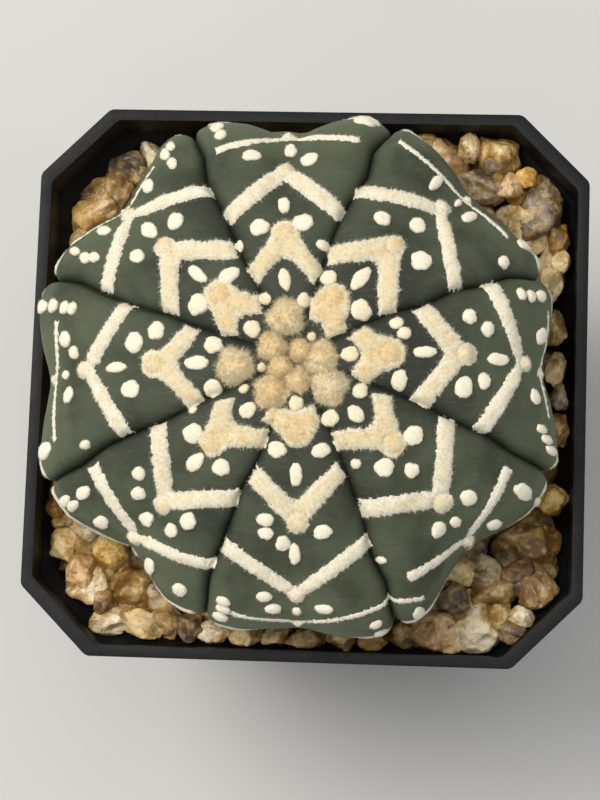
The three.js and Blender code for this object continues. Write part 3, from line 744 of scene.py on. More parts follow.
def path_on_skin(skin, marks):
    """Points of the skin along the two straight lines between marks in the photograph."""
    corners = np.array(marks, float)
    lengths = np.concatenate(((0.0,), np.cumsum(np.linalg.norm(np.diff(corners, axis=0), axis=1))))
    first = np.linspace(0, lengths[1], ARM_STEPS)
    second = np.linspace(lengths[1], lengths[-1], ARM_STEPS)
    shares = np.concatenate((first, second[1:]))
    x = np.interp(shares, lengths, corners[:, 0])
    y = np.interp(shares, lengths, corners[:, 1])
    return smoothed(np.array([skin.seen_at(*place) for place in zip(x, y)]))


def smoothed(path):
    """A copy of a path with its arms smoothed and its tip kept."""
    path = path.copy()
    tip = len(path) // 2
    kept = path[tip].copy()
    for _ in range(2):
        path[1:-1] = (path[:-2] + 2 * path[1:-1] + path[2:]) / 4
        path[tip] = kept
    return path


def add_chevron(heap, skin, path, knob, breadth, wool, random):
    """One chevron: a band of felt whose arms end along the grooves, with a knob at its tip."""
    turns, runs = skin.nearest(path)
    inner = bell(runs.mean(), INNER_REACH)
    patch = FeltPatch(skin, path, 3.0, random)
    flat_path = patch.path
    steps = np.abs(np.linspace(-1, 1, len(path)))
    # The inner chevrons are wider, most of all at the tip. All are a little drawn in at the tip.
    widths = breadth * wool.arm / 2 * (1 + 0.4 * inner) * (1 + (0.75 * inner - 0.12) * (1 - steps))
    widths = widths * (1 - 0.25 * bell(steps, 0.12)) * (1 + 0.05 * random.normal(size=len(path)))
    half = len(path) // 2
    first, first_away = band_depth(patch.flat, flat_path[:half + 1], widths[:half + 1])
    second, second_away = band_depth(patch.flat, flat_path[half:], widths[half:])
    depth = smooth_max(first, second, 0.5 + 2.3 * inner)
    away = np.where((first > second)[:, None], first_away, second_away)
    knob_place, knob_radius = knob
    gap = patch.flat - patch.flattened(knob_place)
    from_knob = np.linalg.norm(gap, axis=-1)
    away = np.where((knob_radius - from_knob > depth)[:, None], gap, away)
    depth = smooth_max(depth, knob_radius - 0.1 - from_knob, 0.3 + 0.5 * inner)
    # Each arm is cut off along the groove that it ends at.
    for end, before in ((0, 2), (-1, -3)):
        along = unit(flat_path[end] - flat_path[before])
        beside = skin.point(turns[end] + 0.05, runs[end]) - skin.point(turns[end] - 0.05, runs[end])
        beside = unit(patch.flattened(patch.centre + beside))
        along = unit(along + 0.9 * beside * np.sign(along @ beside))
        depth = np.minimum(depth, 0.1 - (patch.flat - flat_path[end]) @ along)
    height = np.full(len(patch.flat), wool.height * (1 + 0.5 * inner) * (0.5 + 0.5 * min(breadth, 1)))
    # The knob rises out of the arms, with a narrow furrow round it.
    height += (0.55 - 0.3 * inner) * bell(from_knob, 0.95)
    height -= (0.3 - 0.2 * inner) * bell(from_knob - 1.5, 0.25)
    yellowed = LIMB_CREAM + CROWN_CREAM * bell(runs.mean(), CREAM_REACH)
    cream = yellowed * (0.3 + 0.8 * np.clip(depth / 0.9, 0, 1) ** 1.5) + 0.16 * bell(from_knob, 1.0)
    hair = wool.hair * (0.75 + 0.7 * inner)
    patch.fill(heap, depth, away, height, 0.34, cream, hair, edge_hairs=1.9, top_hairs=1.1, stray=0.75)


def add_tuft(heap, skin, place, radius, height, cream, random):
    """A round cushion of soft hair at the crown, tan in its middle and paler at its edge."""
    spots = place + 0.3 * radius * np.array(((-1, 0, 0), (0, 1, 0), (1, 0, 0)))
    patch = FeltPatch(skin, spots, radius + 0.8, random)
    gap = patch.flat - patch.flattened(place)
    from_middle = np.linalg.norm(gap, axis=-1)
    turn = np.arctan2(gap[:, 1], gap[:, 0])
    bumps = sum(np.sin(lobes * turn + random.uniform(0, 6)) for lobes in (3, 5))
    depth = radius - 0.2 + 0.05 * radius * bumps - from_middle
    share = np.clip(from_middle / radius, 0, 1)
    cream = cream + 0.2 * bell(share, 0.3) - 0.18 * share ** 2
    heights = height * (1 - 0.2 * share ** 2)
    patch.fill(heap, depth, gap, heights, 0.3 * radius, cream, TUFT_HAIR, edge_hairs=3.4, top_hairs=3.2,
        stray=0.36)


def pixel_reach(skin, place, width, height, lean):
    """Half sizes on the skin, ahead and aside, of an oval that the photograph shows."""
    turn, run = skin.nearest(place)
    out = skin.normal(turn, run)
    down = unit(skin.slope(turn, run))
    aside = np.cross(out, down)
    here = photo_pixels(place)
    lean = math.radians(lean)
    long_way = np.array((math.cos(lean), -math.sin(lean)))
    cross_way = np.array((math.sin(lean), math.cos(lean)))
    reach = []
    for way in (down, aside):
        step = photo_pixels(place + way) - here
        scale = max(np.linalg.norm(step), 1e-6)
        step = step / scale
        half = 0.5 / math.hypot(step @ long_way / width, step @ cross_way / height)
        reach.append(min(half / max(scale, LEAST_PIXELS), WIDEST_DOT))
    return down, aside, reach


def add_dot(heap, skin, master, place, down, aside, reach, cream, random):
    """One loose dot: a copy of a modelled pad, bent to the skin, with a little short hair."""
    points, faces = master
    spin = random.uniform(0, 2 * math.pi)
    x = points[:, 0] * math.cos(spin) - points[:, 1] * math.sin(spin)
    y = points[:, 0] * math.sin(spin) + points[:, 1] * math.cos(spin)
    spread = place + down * (x * reach[0])[:, None] + aside * (y * reach[1])[:, None]
    turn, run = skin.nearest(spread)
    lift = points[:, 2] * DOT_HEIGHT
    placed = skin.point(turn, run, lift)
    middle = cream + 0.1 * np.clip(points[:, 2], 0, 1)
    heap.add(placed, faces, cream=middle, shade=0.98)
    chosen = random.choice(np.flatnonzero(points[:, 2] > 0.1), DOT_HAIRS)
    out = unit(skin.point(turn[chosen], run[chosen], lift[chosen] + 1) - placed[chosen])
    away = unit(placed[chosen] - place)
    ways = unit(away * 0.8 + out * 0.35 + random.normal(scale=0.4, size=(DOT_HAIRS, 3)))
    lengths = random.uniform(0.2, 0.45, DOT_HAIRS)
    shade = random.uniform(0.9, 1.05, DOT_HAIRS)
    hairs(heap, placed[chosen] - 0.05 * out, ways, lengths, cream, shade, random)


def dot_master(random):
    """A low round pad of felt, one across and flat underneath, with an uneven edge."""
    deselect()
    bpy.ops.mesh.primitive_ico_sphere_add(subdivisions=3, radius=1)
    made = bpy.context.object
    bpy.ops.object.mode_set(mode="EDIT")
    bpy.ops.mesh.select_all(action="SELECT")
    bpy.ops.mesh.bisect(plane_co=(0, 0, -0.35), plane_no=(0, 0, -1), use_fill=True, clear_outer=True)
    bpy.ops.object.mode_set(mode="OBJECT")
    points, faces = taken(made)
    around = unit(points[:, :2] + 1e-9) * 1.2
    edge = 1 + 0.07 * ripples(around, 1.3, random) + 0.05 * ripples(around, 0.5, random)
    points[:, :2] *= edge[:, None]
    upper = points[:, 2] > 0
    points[upper, 2] = points[upper, 2] ** 0.7 + 0.05 * ripples(points[upper], 0.5, random)
    return points, faces


def lower_areoles(skin):
    """The next areole down each rib, under the lowest one that the photograph shows."""
    lowest = {}
    for _, (x, y), *_ in CHEVRONS_SEEN:
        turn, run = skin.nearest(skin.seen_at(x, y))
        rib = int(skin.rib_at(turn, run)[0])
        lowest[rib] = max(lowest.get(rib, 0), float(run))
    return [(rib, run + AREOLE_SPACING) for rib, run in sorted(lowest.items())]


def skin_place(skin, rib, share, run):
    """A point of the smooth skin, by its share across a rib."""
    return skin.point(skin.turn_at(rib, share, run), run, smooth=True)


def lower_chevron(skin, rib, run):
    """The path of a chevron whose arms rise from the areole towards the grooves."""
    shares = np.linspace(-0.85, 0.85, 2 * ARM_STEPS - 1)
    return skin_place(skin, rib, shares, run - 6.5 * np.abs(shares) ** 1.1)



# Finishes

class Link:
    """A shader value that can be written in sums. Each sum adds its Math node."""

    def __init__(self, finish, socket):
        self.finish = finish
        self.socket = socket

    def sum(self, operation, *values):
        return self.finish.node("ShaderNodeMath", {"operation": operation}, dict(enumerate(values)))

    def __add__(self, other):
        return self.sum("ADD", self, other)

    def __radd__(self, other):
        return self.sum("ADD", other, self)

    def __sub__(self, other):
        return self.sum("SUBTRACT", self, other)

    def __mul__(self, other):
        return self.sum("MULTIPLY", self, other)

    def __rmul__(self, other):
        return self.sum("MULTIPLY", other, self)


class Finish:
    """A material whose nodes are all made by one method."""

    def __init__(self, name, **shader):
        self.material = bpy.data.materials.new(name)
        self.material.use_nodes = True
        self.tree = self.material.node_tree
        self.tree.nodes.clear()
        self.shader = self.tree.nodes.new("ShaderNodeBsdfPrincipled")
        surface = self.tree.nodes.new("ShaderNodeOutputMaterial")
        self.tree.links.new(self.shader.outputs[0], surface.inputs[0])
        for socket, value in shader.items():
            self.feed(self.shader.inputs[socket.replace("_", " ")], value)

    def feed(self, socket, value):
        """Links a shader value to a socket, or writes a constant on it."""
        if isinstance(value, Link):
            self.tree.links.new(value.socket, socket)
        elif hasattr(socket.default_value, "__len__") and len(socket.default_value) == 4:
            socket.default_value = (*tuple(value)[:3], 1)
        else:
            socket.default_value = value

    def node(self, kind, settings=None, sockets=None, output=0):
        """Makes a node with its settings and inputs, and gives one of its outputs."""
        made = self.tree.nodes.new(kind)
        for setting, value in (settings or {}).items():
            if setting == "stops":
                self.set_stops(made.color_ramp, value)
            else:
                setattr(made, setting, value)
        for socket, value in (sockets or {}).items():
            self.feed(made.inputs[socket], value)
        return Link(self, made.outputs[output])

    def set_stops(self, ramp, stops):
        """Sets a ramp's stops, each a place and a grey level or a colour."""
        while len(ramp.elements) < len(stops):
            ramp.elements.new(1)
        for element, (place, value) in zip(ramp.elements, stops):
            element.position = place
            element.color = (value, value, value, 1) if isinstance(value, (int, float)) else (*value, 1)

    def place(self):
        return self.node("ShaderNodeTexCoord", output=3)

    def noise(self, place, scale, detail=4, roughness=0.55):
        return self.node("ShaderNodeTexNoise", None,
            {"Vector": place, "Scale": scale, "Detail": detail, "Roughness": roughness})

    def cells(self, place, scale):
        return self.node("ShaderNodeTexVoronoi", None, {"Vector": place, "Scale": scale})

    def ramp(self, value, *stops):
        return self.node("ShaderNodeValToRGB", {"stops": stops}, {0: value})

    def blend(self, factor, first, second):
        return self.node("ShaderNodeMix", {"data_type": "RGBA"}, {0: factor, 6: first, 7: second}, 2)

    def trait(self, name):
        return self.node("ShaderNodeAttribute", {"attribute_name": name}, output=2)

    def stretched(self, place, scale):
        return self.node("ShaderNodeMapping", None, {"Vector": place, "Scale": scale})

    def scaled(self, colour, share):
        return self.node("ShaderNodeVectorMath", {"operation": "SCALE"}, {0: colour, "Scale": share})

    def bump(self, height, distance, strength=1.0, under=None):
        sockets = {"Height": height, "Distance": distance, "Strength": strength}
        if under is not None:
            sockets["Normal"] = under
        return self.node("ShaderNodeBump", None, sockets)

    def finish(self, color=None, roughness=None, normal=None):
        for socket, value in (("Base Color", color), ("Roughness", roughness), ("Normal", normal)):
            if value is not None:
                self.feed(self.shader.inputs[socket], value)
        return self.material


def darker(colour, share):
    return [share * part for part in colour]


def skin_finish(plant):
    """Matte dark grey-green skin, paler down the sides, with fine specks and scratches."""
    look = Finish("cactus_skin", Specular_IOR_Level=0.22)
    place = look.place()
    cloud = look.noise(place, 90, 5)
    grain = look.noise(place, 1500, 3, 0.7)
    side = look.trait("side")
    green = look.blend(side, plant.skin, plant.skin_side)
    green = look.blend(look.ramp(cloud, (0.4, 0.0), (0.65, 1.0)) * 0.4, green, plant.skin_side)
    green = look.blend(look.ramp(cloud, (0.34, 0.6), (0.5, 0.0)), green, darker(plant.skin, 0.75))
    green = look.blend(look.trait("crown") * 0.8, green, (0.031, 0.033, 0.025))
    # Painted shade in the grooves
    green = look.blend(look.trait("groove") * 0.8, green, darker(plant.skin, 0.3))
    specks = look.ramp(look.cells(place, 2300), (0.0, 1.0), (0.1, 0.0))
    dusty = look.ramp(grain, (0.5, 0.0), (0.66, 1.0))
    green = look.blend(specks * dusty * 0.5, green, (0.36, 0.38, 0.3))
    streaks = look.noise(look.stretched(place, (240, 1900, 1900)), 1, 4, 0.65)
    green = look.blend(look.ramp(streaks, (0.54, 0.0), (0.72, 1.0)) * 0.22, green, (0.15, 0.17, 0.12))
    relief = look.bump(grain, 0.0001, 0.5)
    relief = look.bump(cloud, 0.0006, 0.4, relief)
    relief = look.bump(streaks, 0.0001, 0.5, relief)
    return look.finish(green, 0.5 + 0.25 * cloud, relief)


def wool_finish(wool):
    """Felted wool, white on the outer marks and tan at the crown."""
    look = Finish("plant_wool", Specular_IOR_Level=0.1, Sheen_Weight=0.15, Sheen_Roughness=0.6,
        Roughness=0.95)
    place = look.place()
    fibre = look.noise(place, 2600, 3, 0.7)
    patch = look.noise(place, 620, 3, 0.6)
    cream = look.trait("cream") + (patch - 0.5) * 0.35
    pale = look.blend(look.ramp(cream, (0.0, 0.0), (0.5, 1.0)), wool.white, wool.cream)
    colour = look.blend(look.ramp(cream, (0.5, 0.0), (1.0, 1.0)), pale, wool.tan)
    colour = look.blend(look.ramp(fibre, (0.32, 0.35), (0.5, 0.0)), colour, darker(wool.cream, 0.6))
    return look.finish(look.scaled(colour, look.trait("shade")), None, look.bump(fibre, 0.00015, 0.6))


# Each kind of stone: its dark, middle and light colours
QUARTZ = (
    ((0.30, 0.17, 0.06), (0.70, 0.46, 0.19), (1.0, 0.84, 0.56)),
    ((0.20, 0.10, 0.02), (0.56, 0.33, 0.09), (0.95, 0.72, 0.36)),
    ((0.16, 0.065, 0.006), (0.54, 0.27, 0.03), (0.92, 0.62, 0.18)),
    ((0.14, 0.08, 0.022), (0.42, 0.26, 0.075), (0.84, 0.62, 0.30)),
    ((0.09, 0.06, 0.032), (0.32, 0.222, 0.118), (0.70, 0.54, 0.32)),
    ((0.14, 0.065, 0.02), (0.43, 0.24, 0.085), (0.84, 0.56, 0.28)),
)


def quartz_finish(kind):
    """Broken quartz: clouded colour, rusty seams, pale crystalline faces that are partly painted highlights,
    and small dark pits.
    """
    dark, middle, light = QUARTZ[kind]
    look = Finish(f"quartz_{kind + 1}", Specular_IOR_Level=0.5, Subsurface_Weight=0.12,
        Subsurface_Scale=0.0015, Subsurface_Radius=(1.0, 0.6, 0.3), Coat_Weight=0.4, Coat_Roughness=0.18)
    place = look.place()
    cloud = look.noise(place, 260, 5, 0.62)
    fine = look.noise(place, 1100, 5, 0.7)
    tone = look.trait("stone") * 0.26 - 0.13 + cloud
    body = look.ramp(tone, (0.36, dark), (0.49, middle), (0.61, light))
    rust = look.ramp(look.noise(place, 420, 4, 0.65), (0.52, 0.0), (0.62, 1.0))
    body = look.blend(rust * 0.55, body, (0.44, 0.21, 0.02))
    # Pale crystalline faces in the cells' middles: partly the quartz's own colour, partly painted highlights
    crystal_and_highlight = look.ramp(look.cells(place, 520), (0.0, 1.0), (0.3, 0.0))
    body = look.blend(crystal_and_highlight * 0.55, body, light)
    body = look.blend(look.ramp(fine, (0.33, 0.8), (0.42, 0.0)), body, darker(dark, 0.5))
    body = look.blend(look.ramp(fine, (0.62, 0.0), (0.74, 0.5)), body, light)
    relief = look.bump(fine, 0.00045, 0.8)
    relief = look.bump(look.cells(place, 380), 0.0011, 0.9, relief)
    return look.finish(body, 0.16 + 0.42 * fine, relief)


def plastic_finish(pot):
    """Black moulded plastic with a fine grain, dust and faint rubbed patches."""
    look = Finish("pot_plastic", Specular_IOR_Level=0.19)
    place = look.place()
    grain = look.noise(place, 2200, 3, 0.6)
    dust = look.noise(place, 120, 6, 0.7)
    dusty = look.ramp(dust, (0.45, 0.0), (0.75, 1.0))
    rubbed = look.noise(look.stretched(place, (60, 900, 60)), 1, 4, 0.7)
    colour = look.blend(dusty * 0.2, pot.plastic, (0.03, 0.03, 0.029))
    colour = look.blend(look.ramp(rubbed, (0.62, 0.0), (0.72, 1.0)) * 0.2, colour, (0.06, 0.06, 0.06))
    return look.finish(colour, 0.4 + 0.2 * dusty + 0.1 * grain, look.bump(grain, 0.00008, 0.5))


def mix_finish():
    """Dark gritty potting mix."""
    look = Finish("potting_mix")
    place = look.place()
    cloud = look.noise(place, 300, 5, 0.7)
    cloud = look.ramp(cloud, (0.35, 0.0), (0.7, 1.0))
    colour = look.blend(cloud, (0.02, 0.014, 0.01), (0.12, 0.085, 0.055))
    return look.finish(colour, 0.9, look.bump(look.cells(place, 600), 0.001, 0.8))


def floor_finish(stage):
    """Pale plain surface with a barely clouded tone."""
    look = Finish("floor", Specular_IOR_Level=0.2, Roughness=0.7)
    cloud = look.ramp(look.noise(look.place(), 8, 4, 0.5), (0.3, 0.0), (0.7, 1.0))
    return look.finish(look.blend(cloud, stage.floor, darker(stage.floor, 0.95)))


# Operators

def settings():
    return bpy.context.scene.potted_cactus


def deselect():
    bpy.ops.object.select_all(action="DESELECT")


def apply_modifier(made, kind, **values):
    """Adds a modifier with its settings and applies it."""
    modifier = made.modifiers.new(kind.lower(), kind)
    for setting, value in values.items():
        setattr(modifier, setting, value)
    bpy.context.view_layer.objects.active = made
    bpy.ops.object.modifier_apply(modifier=modifier.name)


class POTTED_CACTUS_OT_stage(bpy.types.Operator):
    """Adds the floor, the soft light and the photographed view"""

    bl_idname = "potted_cactus.stage"
    bl_label = "Set the stage"

    # Each lamp's name, place and size in metres, power in watts, and colour
    LAMPS = (
        ("key", (-0.6, 0.3, 1.15), 0.8, 12, (1.0, 0.97, 0.91)),
        ("fill", (0.1, 0.15, 1.3), 0.7, 2.6, (0.97, 0.98, 1.0)),
    )
    AIM = (0, 0, 0.08)
    FLOOR_SIZE = 3
    SKY_COLOUR = (0.93, 0.96, 1.0, 1)

    def execute(self, context):
        stage = settings().stage
        scene = context.scene
        camera = bpy.data.objects.new("camera", bpy.data.cameras.new("camera"))
        camera.data.sensor_width = PHOTO_SENSOR
        camera.data.lens = CAMERA_LENS
        camera.data.clip_start = 0.01
        placed = Matrix(view_rotation().T.tolist()).to_4x4()
        placed.translation = Vector(camera_point() * MM)
        camera.matrix_world = placed
        scene.collection.objects.link(camera)
        scene.camera = camera

        deselect()
        bpy.ops.mesh.primitive_plane_add(size=self.FLOOR_SIZE)
        floor = context.object
        floor.name = "floor"
        floor.data.materials.append(floor_finish(stage))

        for name, place, size, power, colour in self.LAMPS:
            self.light(scene, name, place, size, power * stage.key, colour)
        world = bpy.data.worlds.new("studio")
        world.use_nodes = True
        backdrop = world.node_tree.nodes["Background"]
        backdrop.inputs["Color"].default_value = self.SKY_COLOUR
        backdrop.inputs["Strength"].default_value = stage.sky
        scene.world = world
        scene.view_settings.view_transform = "Standard"
        return {"FINISHED"}

    def light(self, scene, name, place, size, power, colour):
        lamp = bpy.data.lights.new(name, "AREA")
        lamp.shape = "DISK"
        lamp.size = size
        lamp.energy = power
        lamp.color = colour
        made = bpy.data.objects.new(name, lamp)
        made.location = place
        towards = Vector(self.AIM) - Vector(place)
        made.rotation_euler = towards.to_track_quat("-Z", "Y").to_euler()
        scene.collection.objects.link(made)


class POTTED_CACTUS_OT_pot(bpy.types.Operator):
    """Makes the pot with its rounded edges, feet and drain holes"""

    bl_idname = "potted_cactus.pot"
    bl_label = "Make the pot"

    # In millimetres: the rim's width, how much is cut off its corners, and the pot's other sizes
    WIDTH = 90.0
    CUT = 11.1
    CORNER = 0.45
    CORNER_SEGMENTS = 3
    BASE = 66.0
    STEP = 1.3
    WALL = 1.3
    BAND_SLOPE = 0.6
    BAND_DRAFT = 1
    LEDGE_TOP = 74.0
    LEDGE_FOOT = 72.0
    DRAFT = 0.5
    FOOT = 3.0
    FLOOR = 1.6
    CHANNEL = 34.0
    CHANNEL_LENGTH = 120.0
    DRAIN = 6.0
    DRAIN_SPACING = 11.5
    DRAIN_SIDES = 32
    ROUNDING = 0.3
    SHARP = math.radians(28)

    def execute(self, context):
        pot = settings().pot
        deselect()
        bpy.ops.mesh.primitive_plane_add(size=self.BASE * MM)
        made = context.object
        made.name = "pot_shell"
        bpy.ops.object.mode_set(mode="EDIT")
        bpy.ops.mesh.select_all(action="SELECT")
        cut = self.CUT * self.BASE / self.WIDTH
        bpy.ops.mesh.bevel(offset=cut * MM, affect="VERTICES")
        bpy.ops.mesh.bevel(offset=self.CORNER * MM, segments=self.CORNER_SEGMENTS, affect="VERTICES")
        band_foot = RIM_TOP - pot.band
        floor_top = self.FOOT + self.FLOOR
        # Heights and widths up the outside, over the rim and down the inside
        rings = (
            (0, self.wall(0)),
            (band_foot, self.wall(band_foot)),
            (band_foot + self.BAND_SLOPE, self.WIDTH - self.BAND_DRAFT),
            (RIM_TOP, self.WIDTH),
            (RIM_TOP, self.WIDTH - 2 * pot.lip),
            (self.LEDGE_TOP, self.WIDTH - 2 * (pot.lip + self.DRAFT)),
            (self.LEDGE_FOOT, self.wall(self.LEDGE_FOOT) - 2 * self.WALL),
            (floor_top, self.wall(floor_top) - 2 * self.WALL),
        )
        for (low, low_width), (high, high_width) in zip(rings, rings[1:]):
            self.rise(low, low_width, high, high_width)
        bpy.ops.mesh.select_all(action="SELECT")
        bpy.ops.mesh.normals_make_consistent(inside=False)
        bpy.ops.object.mode_set(mode="OBJECT")
        self.cut_channels(made)
        self.drill(made)
        apply_modifier(made, "BEVEL", width=self.ROUNDING * MM, segments=self.CORNER_SEGMENTS,
            limit_method="ANGLE", angle_limit=self.SHARP)
        finish_piece(made, plastic_finish(pot))
        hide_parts("pot")
        return {"FINISHED"}

    def wall(self, height):
        """The outer width at a height under the band."""
        shoulder = self.WIDTH - 2 * self.STEP - self.BAND_DRAFT
        return self.BASE + (shoulder - self.BASE) * height / RIM_TOP

    def rise(self, low, low_width, high, high_width):
        """Extrudes the selected face to a new height and width."""
        share = high_width / low_width
        bpy.ops.mesh.extrude_region_move(TRANSFORM_OT_translate={"value": (0, 0, (high - low) * MM)})
        bpy.ops.transform.resize(value=(share, share, 1), center_override=(0, 0, high * MM))

    def carve(self, made, cutter):
        """Cuts a shape out of the pot, and removes the shape."""
        apply_modifier(made, "BOOLEAN", operation="DIFFERENCE", object=cutter, solver="EXACT")
        bpy.data.objects.remove(cutter)

    def cut_channels(self, made):
        """Cuts two crossing channels under the base, which leave a foot in each corner."""
        for x, y in ((self.CHANNEL_LENGTH, self.CHANNEL), (self.CHANNEL, self.CHANNEL_LENGTH)):
            deselect()
            bpy.ops.mesh.primitive_cube_add(size=1, scale=(x * MM, y * MM, 2 * self.FOOT * MM))
            self.carve(made, bpy.context.object)

    def drill(self, made):
        """Drills nine drain holes through the base."""
        spots = (-self.DRAIN_SPACING * MM, 0, self.DRAIN_SPACING * MM)
        middle = (self.FOOT + self.FLOOR / 2) * MM
        for x in spots:
            for y in spots:
                deselect()
                bpy.ops.mesh.primitive_cylinder_add(vertices=self.DRAIN_SIDES,
                    radius=self.DRAIN / 2 * MM, depth=3 * self.FLOOR * MM, location=(x, y, middle))
                self.carve(made, bpy.context.object)


class POTTED_CACTUS_OT_fill(bpy.types.Operator):
    """Finishes the potting mix and lays the gravel on it"""

    bl_idname = "potted_cactus.fill"
    bl_label = "Fill the pot"

    MASTERS = 9
    # How far from the pot's middle a stone may reach at some heights, and how much farther
    # towards a cut corner
    WALL_HEIGHTS = (60.0, 72.0, 74.0, 80.0)
    WALL_REACHES = (39.4, 40.95, 42.7, 43.1)
    CUT_SHARE = 1.24
    FINE_VOXEL = 0.06
    PLAIN_VOXEL = 0.13
    FLAT_CUTS = 12
    BALL = 0.62
    # The size and the strength of the stones' coarse and fine relief
    RELIEF = ((0.4, 0.15), (0.12, 0.05))
    TILT = 0.4
    # The right back corner begins where the distances to the right and to the back reach this sum.
    CORNER_START = 28
    # How far the upper stones' tops stand over the gravel's level, how far the lower stones' middles
    # lie under it, and how far both vary
    TOP_OVER_LEVEL = 1.4
    LOWER_DEPTH = 3.6
    JITTER = 0.6
    # The lower layer: half its width, how many places are tried, the stones' sizes, how far it stays
    # out of the corners and the middle, how close two stones may lie, and the mix of kinds
    LOWER_HALF = 40.0
    LOWER_TRIES = 6000
    LOWER_SIZES = (5.0, 7.5)
    LOWER_CORNER = 10
    UNDER_PLANT = 30
    CROWDING = 0.36
    LOWER_KINDS = (1, 3, 3, 4, 4, 5, 2)

    def execute(self, context):
        gravel = settings().gravel
        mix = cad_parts["potting_mix"]
        mix.data.materials.clear()
        mix.data.materials.append(mix_finish())
        random = seeded(gravel.seed)
        fine = [self.master(random, self.FINE_VOXEL) for _ in range(self.MASTERS)]
        plain = [self.master(random, self.PLAIN_VOXEL) for _ in range(self.MASTERS)]
        heaps = [Heap("stone") for _ in QUARTZ]
        self.lay_seen(heaps, fine, gravel, random)
        self.lay_under(heaps, plain, gravel, random)
        for kind, heap in enumerate(heaps):
            made = heap.piece(f"quartz_stones_{kind + 1}", "quartz_gravel", quartz_finish(kind))
            if kind == 0:
                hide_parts("gravel")
        return {"FINISHED"}

    def master(self, random, voxel):
        """One stone of about unit size: a ball broken by flat cuts, with worn edges."""
        deselect()
        bpy.ops.mesh.primitive_ico_sphere_add(subdivisions=3, radius=self.BALL)
        made = bpy.context.object
        bpy.ops.object.mode_set(mode="EDIT")
        for _ in range(self.FLAT_CUTS):
            way = unit(random.normal(size=3))
            bpy.ops.mesh.select_all(action="SELECT")
            bpy.ops.mesh.bisect(plane_co=way * random.uniform(0.36, 0.5), plane_no=way,
                use_fill=True, clear_outer=True)
        bpy.ops.object.mode_set(mode="OBJECT")
        apply_modifier(made, "REMESH", mode="VOXEL", voxel_size=voxel)
        for size, strength in self.RELIEF:
            texture = bpy.data.textures.new("stone_relief", "CLOUDS")
            texture.noise_scale = size
            texture.noise_depth = 3
            apply_modifier(made, "DISPLACE", texture=texture, strength=strength, mid_level=0.5)
        points, faces = taken(made)
        return (points - points.mean(0)) / np.ptp(points, axis=0), faces

    def level(self, gravel, x, y):
        """The gravel's height at a place of the pot."""
        into_corner = max(x + y - self.CORNER_START, 0)
        return gravel.level + gravel.rise * (x - y) + gravel.corner_rise * into_corner

    def drop(self, heap, master, place, sizes, lean, random):
        """Lays a copy of a stone, and moves it off the pot's wall where it would touch it."""
        points, faces = master
        tilt_x, tilt_y = random.uniform(-self.TILT, self.TILT), random.uniform(-self.TILT, self.TILT)
        tilted = Matrix.Rotation(tilt_x, 3, "X") @ Matrix.Rotation(tilt_y, 3, "Y")
        points = (points @ np.array(tilted).T) * np.array(sizes)
        turned = np.array(Matrix.Rotation(lean, 3, "Z"))
        points = points @ turned.T + place
        for side in range(8):
            turn = side * math.pi / 4
            wall = np.array((math.cos(turn), math.sin(turn), 0))
            along = points @ wall
            reach = np.interp(points[:, 2], self.WALL_HEIGHTS, self.WALL_REACHES)
            reach = reach * (1, self.CUT_SHARE)[side % 2]
            past = max((along - reach).max(), 0)
            moved = np.minimum(along - 0.5 * past, reach)
            points = points + wall * (moved - along)[:, None]
        heap.add(points, faces, stone=random.uniform(0, 1))

    def lay_seen(self, heaps, masters, gravel, random):
        """The stones that the photograph shows, each with its top a little over the gravel's level."""
        for index, (x, y, width, height, lean, kind) in enumerate(STONES_SEEN):
            place = under_pixel(x, y, gravel.level - 2)
            top = self.level(gravel, place[0], place[1]) + self.TOP_OVER_LEVEL
            thick = 0.15 * math.sqrt(width * height)
            place = under_pixel(x, y, top - thick / 2 + random.uniform(-self.JITTER, self.JITTER))
            master = masters[index % len(masters)]
            sizes = (width / STONE_PIXELS, height / STONE_PIXELS, thick)
            self.drop(heaps[kind], master, place, sizes, math.radians(lean), random)

    def lay_under(self, heaps, masters, gravel, random):
        """A lower layer of smaller stones, which shows between the upper ones and under the plant."""
        half = self.LOWER_HALF
        spots = []
        for _ in range(self.LOWER_TRIES):
            x, y = random.uniform(-half, half, 2)
            size = random.uniform(*self.LOWER_SIZES)
            in_corner = abs(x) + abs(y) > 2 * half - self.LOWER_CORNER
            under_plant = math.hypot(x, y) < self.UNDER_PLANT
            crowded = any(math.hypot(x - a, y - b) < (size + other) * self.CROWDING for a, b, other in spots)
            if not in_corner and not under_plant and not crowded:
                spots.append((x, y, size))
        for x, y, size in spots:
            depth = self.LOWER_DEPTH - random.uniform(-self.JITTER, self.JITTER)
            height = self.level(gravel, x, y) - depth
            kind = int(random.choice(self.LOWER_KINDS))
            master = masters[int(random.integers(len(masters)))]
            sizes = (size * random.uniform(0.9, 1.3), size, size * 0.8)
            place = np.array((x, y, height))
            self.drop(heaps[kind], master, place, sizes, random.uniform(0, 6.28), random)


